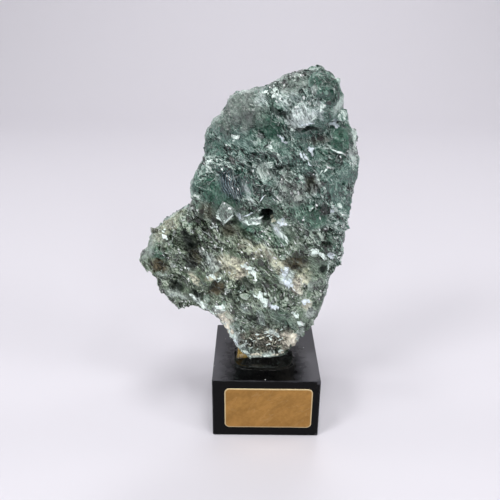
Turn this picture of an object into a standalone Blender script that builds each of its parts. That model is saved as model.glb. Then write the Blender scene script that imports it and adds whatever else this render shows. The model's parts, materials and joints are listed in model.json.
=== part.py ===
"""A plate of green mica schist, glued upright on a black display block with a blank foil label.

Run it with: blender --background --python part.py
Metres, +Z up, -Y is the front. The origin is the middle of the block's underside.
"""

import math
import random

import bmesh
import bpy
import numpy as np
from mathutils import Matrix, Vector, noise
from mathutils.kdtree import KDTree

MM = 0.001
GAP = 0.3 * MM  # between pieces that touch

# The display block: a square wooden block with broken edges.
BLOCK_SIDE = 40 * MM
BLOCK_HEIGHT = 25 * MM
BLOCK_EDGE = 0.5 * MM

# The foil label on the block's front.
LABEL_WIDTH = 32.5 * MM
LABEL_HEIGHT = 17.5 * MM
LABEL_CORNER = 1.8 * MM
LABEL_THICKNESS = 0.3 * MM
LABEL_OFFSET_X = 0.9 * MM
LABEL_CENTRE_Z = 12.9 * MM

# The pad of set glue between the block and the stone's foot.
GLUE_CENTRE = (-0.8 * MM, 0.2 * MM)
GLUE_HALF_LENGTH = 11.0 * MM
GLUE_HALF_WIDTH = 8.6 * MM
GLUE_THICKNESS = 0.9 * MM
GLUE_SLOPE = 1.1 * MM  # how far the pad's upper rim stands in from its lower one
GLUE_WANDER = 0.7 * MM  # how far its edge runs in and out
GLUE_SIDES = 40

# The stone: a plate that stands on its lower end, thickest along its middle.
STONE_HALF_THICKNESS = 9.0 * MM
STONE_MID_Y = 0.8 * MM
STONE_WARP = 3.0 * MM  # how far the plate's middle bends to the front and back
RIM_WARP = 7.0 * MM  # how far its rim bends as well
THICKNESS_WANDER = 0.45  # how far the thickness runs above and below its even share
RIM_SHARE = 0.30  # the rim's share of the full thickness
RIM_WIDTH = 15.0 * MM  # how far in from the rim the plate reaches its full thickness
BLANK_GRAIN = 2.0 * MM  # spacing of the slab's mesh
STONE_GRAIN = 1.6 * MM  # spacing of the stone's mesh
STONE_THINNING = 0.55  # share of the stone's triangles that stay, most of them at its edges
FOOT_Z = BLOCK_HEIGHT + GAP + GLUE_THICKNESS + GAP

# The stone's broken outline seen from the front, clockwise from its top: x and height above the
# block, in millimetres. It runs on below the foot, where the stone is cut flat.
STONE_OUTLINE_MM = [
    (14.8, 109.4), (18.6, 107.2), (21.4, 103.2), (23.0, 99.5), (23.8, 92.8), (26.8, 91.0),
    (29.4, 87.6), (30.8, 80.0), (30.3, 72.5), (28.8, 67.8), (29.2, 59.5), (27.4, 51.2),
    (27.8, 42.8), (26.2, 38.4), (24.0, 34.0), (22.4, 25.6), (19.0, 16.0), (15.4, 8.8),
    (12.0, 5.2), (9.4, 1.0), (7.6, -7.0), (-9.5, -7.0), (-10.5, 2.5), (-13.8, 8.0),
    (-15.8, 12.8), (-19.0, 17.0), (-24.4, 21.8), (-27.0, 22.8), (-30.0, 21.8), (-33.0, 22.4),
    (-35.2, 24.0), (-37.8, 27.6), (-40.0, 34.2), (-43.4, 38.0), (-45.4, 41.2), (-44.0, 46.0),
    (-40.8, 50.8), (-36.6, 55.0), (-31.6, 57.2), (-26.8, 60.6), (-26.0, 65.0), (-27.2, 69.2),
    (-25.0, 72.6), (-23.4, 78.0), (-21.2, 86.2), (-18.6, 90.8), (-14.6, 94.6), (-13.6, 97.4),
    (-10.4, 99.6), (-5.6, 101.6), (-1.0, 102.2), (3.0, 104.0), (7.0, 107.0), (12.4, 108.2),
]

# Broad swells and hollows of the front: x, height above the block, reach and rise, in millimetres.
FRONT_SWELLS_MM = [
    (14.0, 98.0, 11.0, 2.2),  # the knob at the top
    (-8.0, 93.0, 11.0, 1.2),  # the left shoulder
    (7.0, 86.5, 7.0, -2.0),  # the trough under the bright ledge
    (17.0, 66.0, 13.0, 1.6),  # the right flank
    (-14.0, 68.0, 10.0, 1.2),  # the ribbed left side
    (-25.0, 50.0, 7.0, -2.0),  # the saddle behind the left lobe
    (-37.0, 40.0, 9.0, 1.4),  # the left lobe
    (-2.0, 58.0, 6.0, -1.4),  # the dish round the pit
    (0.0, 38.0, 14.0, 1.8),  # the belly
    (-1.0, 12.0, 8.0, -1.2),  # the worn hollow above the foot
]

# Broad swells and hollows of the back.
BACK_SWELLS_MM = [
    (8.0, 92.0, 14.0, 1.5),
    (-10.0, 74.0, 12.0, -1.8),
    (14.0, 56.0, 14.0, 1.8),
    (-30.0, 42.0, 12.0, 1.0),
    (-4.0, 36.0, 12.0, -1.6),
    (4.0, 16.0, 10.0, 1.0),
]

# Books of mica that stand proud of the front, each a flat lozenge with a ledge round it: x, height
# above the block, half length, half width, the length's slope in degrees, and rise, in millimetres.
FRONT_BOOKS_MM = [
    (17.0, 101.0, 8.0, 6.0, -55.0, 2.0),  # on the knob
    (11.0, 93.5, 9.0, 4.0, 12.0, 2.6),  # over the dark crevice
    (-9.0, 95.0, 7.0, 5.5, 25.0, 2.3),  # the smooth flake on the shoulder
    (-17.5, 89.5, 3.6, 3.2, 40.0, 1.7),
    (23.5, 85.0, 6.5, 3.6, -70.0, 2.2),  # beside the right rim
    (13.5, 80.5, 5.0, 4.2, -50.0, 1.6),
    (0.5, 83.0, 7.0, 4.5, -35.0, 1.7),
    (-13.0, 77.0, 6.0, 4.2, -60.0, 1.6),
    (-14.0, 69.0, 8.0, 3.4, -52.0, 1.9),  # the ribbed blue-green book
    (-15.5, 60.5, 3.4, 3.2, 15.0, 2.0),  # the square flake
    (4.5, 69.0, 8.5, 4.2, -42.0, 1.9),
    (19.5, 68.0, 6.5, 3.4, -55.0, 1.4),
    (12.0, 56.5, 8.0, 4.4, -48.0, 1.7),
    (21.0, 46.0, 5.0, 4.0, -20.0, 2.0),  # the silver flakes on the right
    (-36.0, 48.5, 6.0, 3.0, 42.0, 1.7),  # the pale edge of the left lobe
    (-37.5, 32.0, 5.5, 3.6, -50.0, 1.6),
    (-24.5, 36.0, 7.0, 3.0, -48.0, 1.9),
    (-9.0, 46.0, 7.0, 4.0, -30.0, 1.6),
    (7.5, 37.0, 6.0, 3.4, -62.0, 1.7),
    (-7.0, 27.0, 7.5, 3.6, -50.0, 1.9),
    (14.0, 25.0, 7.0, 3.2, -50.0, 1.6),
    (-14.6, 10.5, 6.5, 1.8, -62.0, 1.9),  # the pale splintered left edge
    (10.5, 9.0, 4.0, 2.6, 50.0, 1.6),  # the buff flake on the right of the foot
]

# Faceting: the whole stone is broken into flat cleavage faces of about this size.
FACET_SIZE = 6.5 * MM
FACET_TILT = 0.22  # rise per unit of length on a face
FACET_STEP = 0.6 * MM  # how far neighbouring faces stand in or out
FACET_FLATNESS = 0.85  # how nearly each face is brought to a plane
FACET_SEED = 11

# Layers of the broken rim, which run along the plate and wave with it.
LAYER_PITCH = 2.4 * MM
LAYER_WAVE = 3.0 * MM
LAYER_STEP = 1.5 * MM
LAYER_REACH = 3.5 * MM  # how far in from the outline the layers show

# The narrow dark pit in the front.
PIT_X = -0.5 * MM
PIT_Z = BLOCK_HEIGHT + 59.8 * MM
PIT_RADIUS = 1.7 * MM
PIT_FLOOR_RADIUS = 0.9 * MM
PIT_FLOOR_Y = -1.0 * MM
PIT_MOUTH_Y = -20.0 * MM
PIT_SIDES = 7


def clear_scene():
    for obj in list(bpy.data.objects):
        bpy.data.objects.remove(obj)


def new_collection(name):
    collection = bpy.data.collections.new(name)
    bpy.context.scene.collection.children.link(collection)
    return collection


def principled(name, colour, roughness, metallic=0.0):
    material = bpy.data.materials.new(name)
    material.use_nodes = True
    shader = material.node_tree.nodes["Principled BSDF"]
    shader.inputs["Base Color"].default_value = (*colour, 1.0)
    shader.inputs["Roughness"].default_value = roughness
    shader.inputs["Metallic"].default_value = metallic
    return material


def object_from_bmesh(name, bm, collection, material=None):
    mesh = bpy.data.meshes.new(name)
    bm.to_mesh(mesh)
    bm.free()
    obj = bpy.data.objects.new(name, mesh)
    collection.objects.link(obj)
    if material:
        mesh.materials.append(material)
    return obj


def mesh_of(obj):
    """The object's evaluated shape as a plain mesh, with loose caps welded."""
    bpy.context.view_layer.update()
    graph = bpy.context.evaluated_depsgraph_get()
    mesh = bpy.data.meshes.new_from_object(obj.evaluated_get(graph))
    bm = bmesh.new()
    bm.from_mesh(mesh)
    bmesh.ops.remove_doubles(bm, verts=bm.verts, dist=0.00001)
    bm.to_mesh(mesh)
    bm.free()
    return mesh


def flat_outline(name, points, thickness, collection):
    """A 2D curve through these points, filled on both sides and extruded."""
    curve = bpy.data.curves.new(name, "CURVE")
    curve.dimensions = "2D"
    curve.fill_mode = "BOTH"
    curve.extrude = thickness / 2
    spline = curve.splines.new("POLY")
    spline.points.add(len(points) - 1)
    for point, (x, y) in zip(spline.points, points):
        point.co = (x, y, 0, 1)
    spline.use_cyclic_u = True
    obj = bpy.data.objects.new(name, curve)
    collection.objects.link(obj)
    return obj


# ---- the block and its label ----


def make_block(collection):
    bpy.ops.mesh.primitive_cube_add(size=1, location=(0, 0, BLOCK_HEIGHT / 2))
    block = bpy.context.object
    block.name = block.data.name = "display_block"
    block.data.transform(Matrix.Diagonal((BLOCK_SIDE, BLOCK_SIDE, BLOCK_HEIGHT, 1)))
    bevel = block.modifiers.new("broken edges", "BEVEL")
    bevel.width = BLOCK_EDGE
    bevel.segments = 2
    block.data.materials.append(principled("black paint", (0.012, 0.012, 0.013), 0.25))
    for owner in block.users_collection:
        owner.objects.unlink(block)
    collection.objects.link(block)


def rounded_rectangle(width, height, corner, steps=6):
    """Points round a rectangle with round corners, counter-clockwise."""
    points = []
    for quarter in range(4):
        sign_x = 1 if quarter in (0, 3) else -1
        sign_y = 1 if quarter in (0, 1) else -1
        for step in range(steps + 1):
            angle = math.radians(90 * (quarter + step / steps))
            x = sign_x * (width / 2 - corner) + corner * math.cos(angle)
            y = sign_y * (height / 2 - corner) + corner * math.sin(angle)
            points.append((x, y))
    return points


def make_label(collection):
    points = rounded_rectangle(LABEL_WIDTH, LABEL_HEIGHT, LABEL_CORNER)
    label = flat_outline("foil_label", points, LABEL_THICKNESS, collection)
    front = -BLOCK_SIDE / 2 - GAP - LABEL_THICKNESS / 2
    label.location = (LABEL_OFFSET_X, front, LABEL_CENTRE_Z)
    label.rotation_euler = (math.radians(90), 0, 0)
    label.data.materials.append(principled("gold foil", (0.47, 0.29, 0.09), 0.35, 0.6))


# ---- the glue ----


def make_glue(collection):
    """A low pad with sloping sides and an edge that wanders."""
    bm = bmesh.new()
    bmesh.ops.create_cone(
        bm, cap_ends=True, segments=GLUE_SIDES, radius1=1, radius2=1, depth=GLUE_THICKNESS
    )
    base = BLOCK_HEIGHT + GAP
    for vert in bm.verts:
        upper = vert.co.z > 0
        angle = math.atan2(vert.co.y, vert.co.x)
        wander = GLUE_WANDER * noise.noise((2 * math.cos(angle), 2 * math.sin(angle), 5.0))
        shrink = wander - (GLUE_SLOPE if upper else 0)
        vert.co.x = GLUE_CENTRE[0] + (GLUE_HALF_LENGTH + shrink) * math.cos(angle)
        vert.co.y = GLUE_CENTRE[1] + (GLUE_HALF_WIDTH + shrink) * math.sin(angle)
        vert.co.z = base + (GLUE_THICKNESS if upper else 0)
    object_from_bmesh("glue_pad", bm, collection, principled("set glue", (0.21, 0.12, 0.03), 0.2))


# ---- the stone ----


def smooth(share):
    share = np.clip(share, 0.0, 1.0)
    return share * share * (3 - 2 * share)


def rim_distance(x, z):
    """How far each point of the plate is from the stone's outline, seen from the front."""
    outline = np.array(STONE_OUTLINE_MM) * MM + (0.0, BLOCK_HEIGHT)
    places = np.stack([x, z], axis=1)
    nearest = np.full(len(x), np.inf)
    for start, end in zip(outline, np.roll(outline, -1, axis=0)):
        along = end - start
        share = np.clip((places - start) @ along / (along @ along), 0, 1)
        foot = start + share[:, None] * along
        nearest = np.minimum(nearest, np.linalg.norm(places - foot, axis=1))
    return nearest


def slow_noise(x, z, per_metre, layer):
    """Smooth noise over the plate, from about -0.7 to 0.7."""
    return np.array([noise.noise((a * per_metre, b * per_metre, layer)) for a, b in zip(x, z)])


def half_thickness(x, z, inward):
    """The plate's half thickness: thin at the rim, rounding up to its middle."""
    dome = np.sqrt(1 - (1 - inward) ** 2)
    uneven = 1 + THICKNESS_WANDER * slow_noise(x, z, 32, 9.0)
    return STONE_HALF_THICKNESS * uneven * (RIM_SHARE + (1 - RIM_SHARE) * dome)


def middle_y(x, z, inward):
    """Where the plate's middle lies, bent more at the rim than inside it. The foot stays central."""
    rise = smooth((z - FOOT_Z) / (25 * MM))
    bend = STONE_WARP * slow_noise(x, z, 24, 3.0)
    rim_bend = RIM_WARP * (1 - inward) * slow_noise(x, z, 38, 21.0)
    return STONE_MID_Y + rise * (bend + rim_bend)


def swell_height(x, z, swells):
    height = np.zeros(len(x))
    for sx, sz, reach, rise in np.array(swells) * MM:
        away = ((x - sx) ** 2 + (z - BLOCK_HEIGHT - sz) ** 2) / reach**2
        height += rise * np.exp(-away)
    return height


def book_height(x, z):
    """How far the mica books stand out of the front: flat inside, with a steep ledge round each."""
    height = np.zeros(len(x))
    ledge = STONE_GRAIN / 2
    for bx, bz, half_length, half_width, slope, rise in FRONT_BOOKS_MM:
        angle = math.radians(slope)
        dx = x - bx * MM
        dz = z - BLOCK_HEIGHT - bz * MM
        along = np.abs(dx * math.cos(angle) + dz * math.sin(angle)) / (half_length * MM)
        across = np.abs(dz * math.cos(angle) - dx * math.sin(angle)) / (half_width * MM)
        edge = 1 - np.maximum(np.maximum(along, across), 0.62 * (along + across))
        height += rise * MM * smooth(edge * half_width * MM / ledge)
    return height


def shape_plate(bm):
    """Turns the even slab into the domed plate with its swells and books."""
    places = np.array([vert.co[:] for vert in bm.verts])
    x, y, z = places.T
    inward = np.clip(rim_distance(x, z) / RIM_WIDTH, 0, 1)
    side = np.clip(y / STONE_HALF_THICKNESS, -1, 1)
    front = smooth(-side)
    back = smooth(side)
    surface = side * half_thickness(x, z, inward)
    surface -= front * (swell_height(x, z, FRONT_SWELLS_MM) + book_height(x, z))
    surface += back * swell_height(x, z, BACK_SWELLS_MM)
    for vert, new_y in zip(bm.verts, middle_y(x, z, inward) + surface):
        vert.co.y = new_y


def facet_seeds(bm):
    """Points over the stone, each the middle of one cleavage face with its own tilt and step."""
    draw = random.Random(FACET_SEED)
    low = [min(vert.co[axis] for vert in bm.verts) for axis in range(3)]
    high = [max(vert.co[axis] for vert in bm.verts) for axis in range(3)]
    counts = [max(1, round((b - a) / FACET_SIZE)) for a, b in zip(low, high)]
    seeds = []
    for i in range(counts[0]):
        for j in range(counts[1]):
            for k in range(counts[2]):
                cell = (i, j, k)
                place = [low[n] + (cell[n] + draw.random()) * FACET_SIZE for n in range(3)]
                tilt = [draw.uniform(-FACET_TILT, FACET_TILT) for _ in range(3)]
                seeds.append((Vector(place), Vector(tilt), draw.uniform(-FACET_STEP, FACET_STEP)))
    return seeds


def facing(normal):
    """Front, back or rim, so that no face folds round the plate's edge."""
    return 0 if abs(normal.y) < 0.55 else math.copysign(1, normal.y)


def break_into_facets(bm):
    """Brings the surface near a plane within each cell round a seed, with a step between cells."""
    seeds = facet_seeds(bm)
    tree = KDTree(len(seeds))
    for index, (place, _tilt, _step) in enumerate(seeds):
        tree.insert(place, index)
    tree.balance()
    bm.normal_update()
    cells = {}
    for vert in bm.verts:
        key = (tree.find(vert.co)[1], facing(vert.normal))
        cells.setdefault(key, []).append(vert)
    for (index, _side), verts in cells.items():
        _place, tilt, step = seeds[index]
        middle = sum((vert.co for vert in verts), Vector()) / len(verts)
        normal = sum((vert.normal for vert in verts), Vector()).normalized()
        normal = (normal + tilt).normalized()
        for vert in verts:
            vert.co -= normal * (FACET_FLATNESS * normal.dot(vert.co - middle) - step)


def split_rim_into_layers(bm):
    """Steps the rim in and out from layer to layer, like the edge of a stack of sheets."""
    x, y, z = np.array([vert.co[:] for vert in bm.verts]).T
    wave = LAYER_WAVE * slow_noise(x, z, 45, 17.0)
    layers = np.floor((y + wave) / LAYER_PITCH)
    fade = np.clip(1 - rim_distance(x, z) / LAYER_REACH, 0, 1)
    bm.normal_update()
    moves = []
    for vert, layer, share in zip(bm.verts, layers, fade):
        wander = noise.noise((vert.co.x * 110, vert.co.z * 110, layer * 7.3 + 0.4))
        outward = Vector((vert.normal.x, 0, vert.normal.z))
        moves.append(outward * LAYER_STEP * share * (wander - 0.15))
    for vert, move in zip(bm.verts, moves):
        if vert.co.z > FOOT_Z + 2 * STONE_GRAIN:
            vert.co += move


def box_cutter(name, low, high, collection):
    bm = bmesh.new()
    bmesh.ops.create_cube(bm, size=1)
    middle = (Vector(low) + Vector(high)) / 2
    for vert in bm.verts:
        vert.co = middle + Vector(c * (b - a) for c, a, b in zip(vert.co, low, high))
    return object_from_bmesh(name, bm, collection)


def pit_cutter(collection):
    """A seven-sided spike that leaves the narrow pit."""
    depth = PIT_FLOOR_Y - PIT_MOUTH_Y
    bm = bmesh.new()
    bmesh.ops.create_cone(
        bm,
        cap_ends=True,
        segments=PIT_SIDES,
        radius1=PIT_RADIUS * 1.4,
        radius2=PIT_FLOOR_RADIUS,
        depth=depth,
        matrix=Matrix.Translation((PIT_X, PIT_MOUTH_Y + depth / 2, PIT_Z))
        @ Matrix.Rotation(math.radians(-90), 4, "X"),
    )
    return object_from_bmesh("pit cutter", bm, collection)


def cut(obj, cutter):
    cutter.hide_render = True
    cutter.display_type = "WIRE"
    boolean = obj.modifiers.new(cutter.name, "BOOLEAN")
    boolean.operation = "DIFFERENCE"
    boolean.object = cutter


def even_mesh(mesh, grain, collection):
    """The same closed shape with faces of one size, as a bmesh. It takes the mesh away."""
    solid = bpy.data.objects.new("stone blank", mesh)
    collection.objects.link(solid)
    remesh = solid.modifiers.new("even mesh", "REMESH")
    remesh.mode = "VOXEL"
    remesh.voxel_size = grain
    even = mesh_of(solid)
    bpy.data.objects.remove(solid)
    bm = bmesh.new()
    bm.from_mesh(even)
    bpy.data.meshes.remove(even)
    bpy.data.meshes.remove(mesh)
    return bm


def make_stone(collection, cutters):
    outline = [(x * MM, z * MM + BLOCK_HEIGHT) for x, z in STONE_OUTLINE_MM]
    slab = flat_outline("stone slab", outline, 2 * STONE_HALF_THICKNESS, collection)
    slab.rotation_euler = (math.radians(90), 0, 0)
    blank = mesh_of(slab)
    blank.transform(slab.matrix_world)
    bpy.data.objects.remove(slab)

    bm = even_mesh(blank, BLANK_GRAIN, collection)
    shape_plate(bm)
    plate = bpy.data.meshes.new("stone plate")
    bm.to_mesh(plate)
    bm.free()
    bm = even_mesh(plate, STONE_GRAIN, collection)
    break_into_facets(bm)
    split_rim_into_layers(bm)
    bmesh.ops.triangulate(bm, faces=bm.faces)
    green = principled("green mica", (0.10, 0.17, 0.13), 0.35)
    stone = object_from_bmesh("mica_stone", bm, collection, green)
    thin_out = stone.modifiers.new("fewer triangles on flat faces", "DECIMATE")
    thin_out.ratio = STONE_THINNING
    thin_out.use_collapse_triangulate = True
    reach = 2 * BLOCK_SIDE
    below = box_cutter("foot cutter", (-reach, -reach, 0), (reach, reach, FOOT_Z), cutters)
    cut(stone, below)
    cut(stone, pit_cutter(cutters))


def main():
    clear_scene()
    parts = new_collection("mica specimen on a block")
    cutters = new_collection("cutters")
    make_block(parts)
    make_label(parts)
    make_glue(parts)
    make_stone(parts, cutters)


main()
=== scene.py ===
"""Dresses a plate of green mica schist that is glued upright on a black display block.

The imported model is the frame, and each piece rides on its one body. Lengths are in metres, +Z is
up and -Y is the front. Places on the stone are given as x and height above the block, in
millimetres, the way one would measure the specimen on its stand.
"""

import json
import math
from functools import partial

import bmesh
import bpy
import numpy as np
from mathutils import Matrix, Vector, noise
from mathutils.bvhtree import BVHTree
from mathutils.kdtree import KDTree

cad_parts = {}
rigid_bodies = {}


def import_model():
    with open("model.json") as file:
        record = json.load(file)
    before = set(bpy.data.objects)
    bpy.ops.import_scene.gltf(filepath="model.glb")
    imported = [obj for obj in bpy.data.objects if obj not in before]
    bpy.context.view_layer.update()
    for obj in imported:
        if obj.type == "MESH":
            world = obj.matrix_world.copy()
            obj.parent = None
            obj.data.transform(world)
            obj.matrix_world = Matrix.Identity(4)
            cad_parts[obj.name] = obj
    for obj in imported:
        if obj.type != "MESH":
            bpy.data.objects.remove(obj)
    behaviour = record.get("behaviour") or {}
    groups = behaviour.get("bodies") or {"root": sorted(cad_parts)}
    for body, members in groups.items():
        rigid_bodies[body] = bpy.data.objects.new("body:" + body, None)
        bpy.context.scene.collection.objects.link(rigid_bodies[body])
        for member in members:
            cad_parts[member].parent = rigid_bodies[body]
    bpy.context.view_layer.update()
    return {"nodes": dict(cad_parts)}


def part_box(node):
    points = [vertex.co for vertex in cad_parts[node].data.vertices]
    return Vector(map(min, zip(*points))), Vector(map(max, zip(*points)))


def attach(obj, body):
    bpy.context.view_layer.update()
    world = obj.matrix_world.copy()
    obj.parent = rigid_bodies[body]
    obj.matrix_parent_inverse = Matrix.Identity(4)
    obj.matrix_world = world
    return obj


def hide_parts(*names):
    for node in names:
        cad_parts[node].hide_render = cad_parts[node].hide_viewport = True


bl_info = {
    "name": "Mica Specimen",
    "version": (1, 0, 0),
    "blender": (4, 5, 0),
    "location": "View3D > Sidebar > Mica",
    "description": "Dresses the mica stone, its glue, its label and its display block",
    "category": "Object",
}

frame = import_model()

MM = 0.001
BLOCK_LOW, BLOCK_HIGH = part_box("display_block")
LABEL_LOW, LABEL_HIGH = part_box("foil_label")
GLUE_LOW, GLUE_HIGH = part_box("glue_pad")
STONE_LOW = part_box("mica_stone")[0]
BLOCK_TOP = BLOCK_HIGH.z

# ---- where the stone's colours lie ----

# Soft patches of one mineral or stain on the stone's front, and of painted light and shade: which,
# x, height above the block, half length, half width, the length's slope in degrees, and strength.
# The deep patches are painted shade in crevices, hollows and the pit, the frost patches are pale
# mica that is partly painted highlight, the silk patches a painted sheen, and the ice patches a
# painted reflection of a cool window.
FRONT_PATCHES = [
    ("olive", -22.0, 38.0, 34.0, 26.0, 0, 0.65),  # the rusty lower half
    ("olive", 4.0, 30.0, 22.0, 34.0, 0, 0.55),
    ("grey", -10.0, 95.5, 9.0, 6.5, 20, 0.85),  # the shoulder
    ("smooth", -10.0, 95.0, 9.5, 6.5, 20, 0.9),
    ("smooth", -17.0, 89.5, 3.4, 4.0, 0, 0.8),
    ("smooth", -1.0, 91.0, 4.6, 3.4, -30, 0.8),  # two dark green domes
    ("green", -1.0, 91.0, 6.0, 4.0, -30, 1.0),
    ("smooth", 23.2, 87.0, 3.4, 4.2, 0, 0.85),
    ("green", 23.2, 87.0, 4.2, 5.4, 0, 1.0),
    ("smooth", 16.0, 105.5, 6.0, 3.6, -40, 0.6),  # the tip
    ("green", 17.0, 104.5, 7.5, 4.0, -50, 0.5),
    ("grey", 6.2, 105.0, 5.0, 3.4, 25, 0.8),
    ("frost", 12.0, 103.0, 1.3, 1.0, 0, 0.8),
    ("frost", 21.3, 98.0, 2.2, 2.8, -40, 0.6),
    ("silk", 5.6, 98.4, 4.6, 4.0, 30, 0.45),
    ("silk", -3.2, 99.3, 2.2, 2.2, 0, 0.5),
    ("silk", 9.2, 95.4, 5.6, 3.8, 20, 0.8),  # the silver fan
    ("frost", 9.6, 94.8, 4.0, 2.2, 20, 0.4),
    ("frost", 9.4, 92.4, 3.8, 1.3, 15, 1.0),
    ("smooth", 9.4, 93.2, 4.2, 2.4, 15, 0.4),
    ("silk", 14.2, 97.4, 1.0, 3.2, 25, 0.9),
    ("deep", 11.2, 90.2, 4.6, 1.1, 0, 1.0),  # the crevice under it
    ("deep", 3.4, 94.6, 3.8, 1.0, -27, 0.9),
    ("green", 1.8, 96.8, 2.0, 2.2, 0, 1.0),
    ("brown", 15.6, 86.4, 3.4, 1.4, 5, 0.65),
    ("green", -2.0, 86.0, 6.0, 3.6, -40, 0.6),
    ("green", 18.5, 80.5, 4.2, 3.2, -35, 0.7),
    ("grey", 7.5, 70.5, 6.4, 5.4, -40, 0.9),
    ("grey", -2.0, 76.0, 4.0, 3.0, -30, 0.55),
    ("deep", 3.4, 77.2, 4.6, 0.6, 8, 0.8),  # a crack
    ("blue", -13.4, 70.6, 5.6, 3.2, -54, 1.0),  # the ribbed book
    ("green", -18.0, 68.0, 7.0, 4.4, -40, 0.9),
    ("smooth", -18.0, 68.0, 5.0, 3.4, -40, 0.6),
    ("smooth", -15.5, 61.4, 4.4, 4.2, 0, 0.9),  # under the square flake
    ("deep", -15.0, 57.0, 5.0, 0.9, -12, 0.8),
    ("deep", -11.6, 58.4, 0.8, 4.2, 15, 0.8),
    ("silk", -7.6, 68.0, 4.6, 1.1, -62, 0.6),
    ("green", -7.4, 53.6, 5.0, 2.4, -35, 0.9),
    ("silk", -9.6, 58.6, 3.4, 1.2, -58, 0.6),  # blue-white strands beside the pit
    ("silk", -5.2, 57.2, 3.2, 1.5, 12, 0.6),
    ("frost", 4.4, 57.4, 1.6, 1.4, 40, 0.9),
    ("silk", 3.4, 54.0, 3.6, 1.2, -56, 0.9),
    ("brown", 13.5, 72.0, 2.2, 2.6, 0, 0.8),
    ("frost", 15.6, 73.8, 0.7, 2.2, 0, 0.7),
    ("green", 13.5, 62.0, 8.0, 5.0, -45, 0.75),
    ("green", 4.0, 51.0, 4.0, 2.4, -30, 0.6),
    ("deep", -0.7, 58.9, 2.2, 2.2, 0, 1.0),  # the pit
    ("green", -5.0, 53.5, 5.5, 2.4, -25, 0.7),
    ("brown", -14.0, 54.2, 3.0, 2.0, -30, 0.75),
    ("brown", -9.5, 52.6, 6.5, 2.4, -25, 0.5),
    ("deep", -28.3, 49.6, 4.0, 2.6, -55, 1.0),  # the lobe's dark hollows
    ("deep", -27.4, 42.0, 1.8, 3.4, 20, 0.8),
    ("deep", -32.7, 32.4, 2.8, 2.2, -40, 0.9),
    ("deep", -25.3, 28.8, 3.6, 1.6, -35, 0.8),
    ("deep", -19.4, 33.6, 3.4, 1.0, 40, 0.6),
    ("brown", -26.4, 44.5, 2.0, 4.4, 0, 0.8),
    ("brown", -38.1, 41.6, 3.4, 2.8, 0, 1.0),
    ("brown", -21.3, 60.7, 3.4, 2.6, -40, 0.7),
    ("smooth", -42.5, 47.0, 4.0, 5.4, -20, 0.8),  # the left lobe's thin rim
    ("frost", -43.4, 47.5, 3.0, 5.0, -15, 0.3),
    ("frost", -19.5, 41.5, 2.2, 3.4, 30, 0.5),
    ("green", -38.6, 46.0, 3.6, 2.6, -40, 0.8),
    ("buff", -36.0, 55.0, 8.5, 2.2, 40, 0.4),
    ("smooth", -36.0, 55.0, 7.5, 2.6, 40, 0.5),
    ("buff", -19.6, 37.0, 2.4, 1.0, 15, 0.9),
    ("buff", -27.0, 36.4, 1.1, 3.6, 28, 1.0),
    ("grey", -21.3, 43.0, 2.4, 4.6, 20, 0.85),
    ("frost", -21.6, 43.6, 0.7, 3.6, 30, 0.7),
    ("buff", -13.0, 41.6, 6.4, 3.4, -8, 0.85),
    ("buff", -10.6, 38.6, 3.6, 2.2, 0, 0.85),
    ("buff", -4.0, 47.0, 7.0, 2.2, -20, 0.45),
    ("buff", 3.6, 41.6, 4.2, 2.6, -30, 0.6),
    ("buff", 12.2, 37.0, 3.2, 3.0, 20, 0.75),
    ("cream", -9.6, 38.4, 2.2, 1.8, 0, 0.7),
    ("cream", 10.4, 33.4, 2.4, 3.4, 10, 0.8),
    ("frost", 6.6, 37.0, 2.2, 3.6, 0, 0.9),
    ("smooth", 6.6, 37.0, 2.2, 3.6, 0, 0.7),
    ("cream", 14.6, 25.6, 1.8, 2.4, 35, 0.6),
    ("frost", 15.8, 21.6, 2.0, 2.4, 35, 0.6),
    ("deep", -17.6, 37.6, 1.4, 1.0, 0, 0.6),
    ("brown", -18.3, 32.0, 3.2, 2.8, 0, 1.0),
    ("smooth", -18.3, 32.0, 2.6, 2.4, 0, 0.6),
    ("deep", -7.0, 34.6, 3.6, 1.4, -40, 0.8),
    ("deep", -13.4, 29.4, 3.4, 1.2, -50, 0.7),
    ("smooth", -2.2, 21.6, 5.0, 3.2, -55, 0.7),  # smooth leaves in the lower half
    ("smooth", -9.0, 26.0, 3.6, 1.8, -55, 0.7),
    ("smooth", 5.6, 20.0, 4.6, 2.6, -50, 0.7),
    ("smooth", 17.5, 36.0, 4.6, 3.0, -50, 0.6),
    ("frost", -33.0, 29.4, 4.6, 1.6, -35, 0.5),
    ("frost", -23.4, 24.2, 6.6, 1.0, -47, 1.0),  # the white line along the notch
    ("frost", -17.8, 22.8, 2.6, 1.4, -20, 0.7),
    ("brown", 9.5, 42.1, 4.6, 2.6, -10, 0.95),
    ("deep", 20.0, 39.2, 1.6, 1.6, 0, 1.0),
    ("grey", 16.8, 33.2, 3.8, 2.8, -30, 0.7),
    ("frost", 28.4, 86.0, 2.2, 7.6, 4, 1.0),  # the right rim
    ("grey", 4.8, 19.6, 7.0, 3.6, -45, 0.35),
    ("green", 5.6, 20.0, 6.0, 3.0, -45, 0.6),
    ("grey", -8.1, 25.7, 2.4, 1.8, -40, 0.7),
    ("net", -1.0, 9.4, 9.4, 6.0, 0, 1.0),
    ("brown", 3.6, 8.0, 3.0, 2.4, 0, 0.5),
    ("deep", -5.2, 21.0, 2.2, 1.6, -40, 0.8),
    ("frost", 2.2, 13.2, 3.0, 1.0, -30, 1.0),
    ("frost", -1.0, 2.4, 9.0, 1.3, 0, 0.6),  # the foot's flaky lip
    ("cream", -15.8, 17.4, 2.4, 5.4, 14, 1.0),  # the splintered left edge of the foot
    ("frost", -12.6, 10.4, 3.0, 7.2, 28, 1.0),
    ("smooth", -13.4, 12.0, 2.6, 9.0, 25, 0.35),
    ("cream", 9.2, 8.8, 3.0, 4.2, -28, 1.0),
    ("smooth", 9.2, 8.8, 3.0, 4.2, -28, 0.8),
    ("frost", 12.4, 10.4, 1.8, 3.0, -30, 0.8),
]
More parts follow.
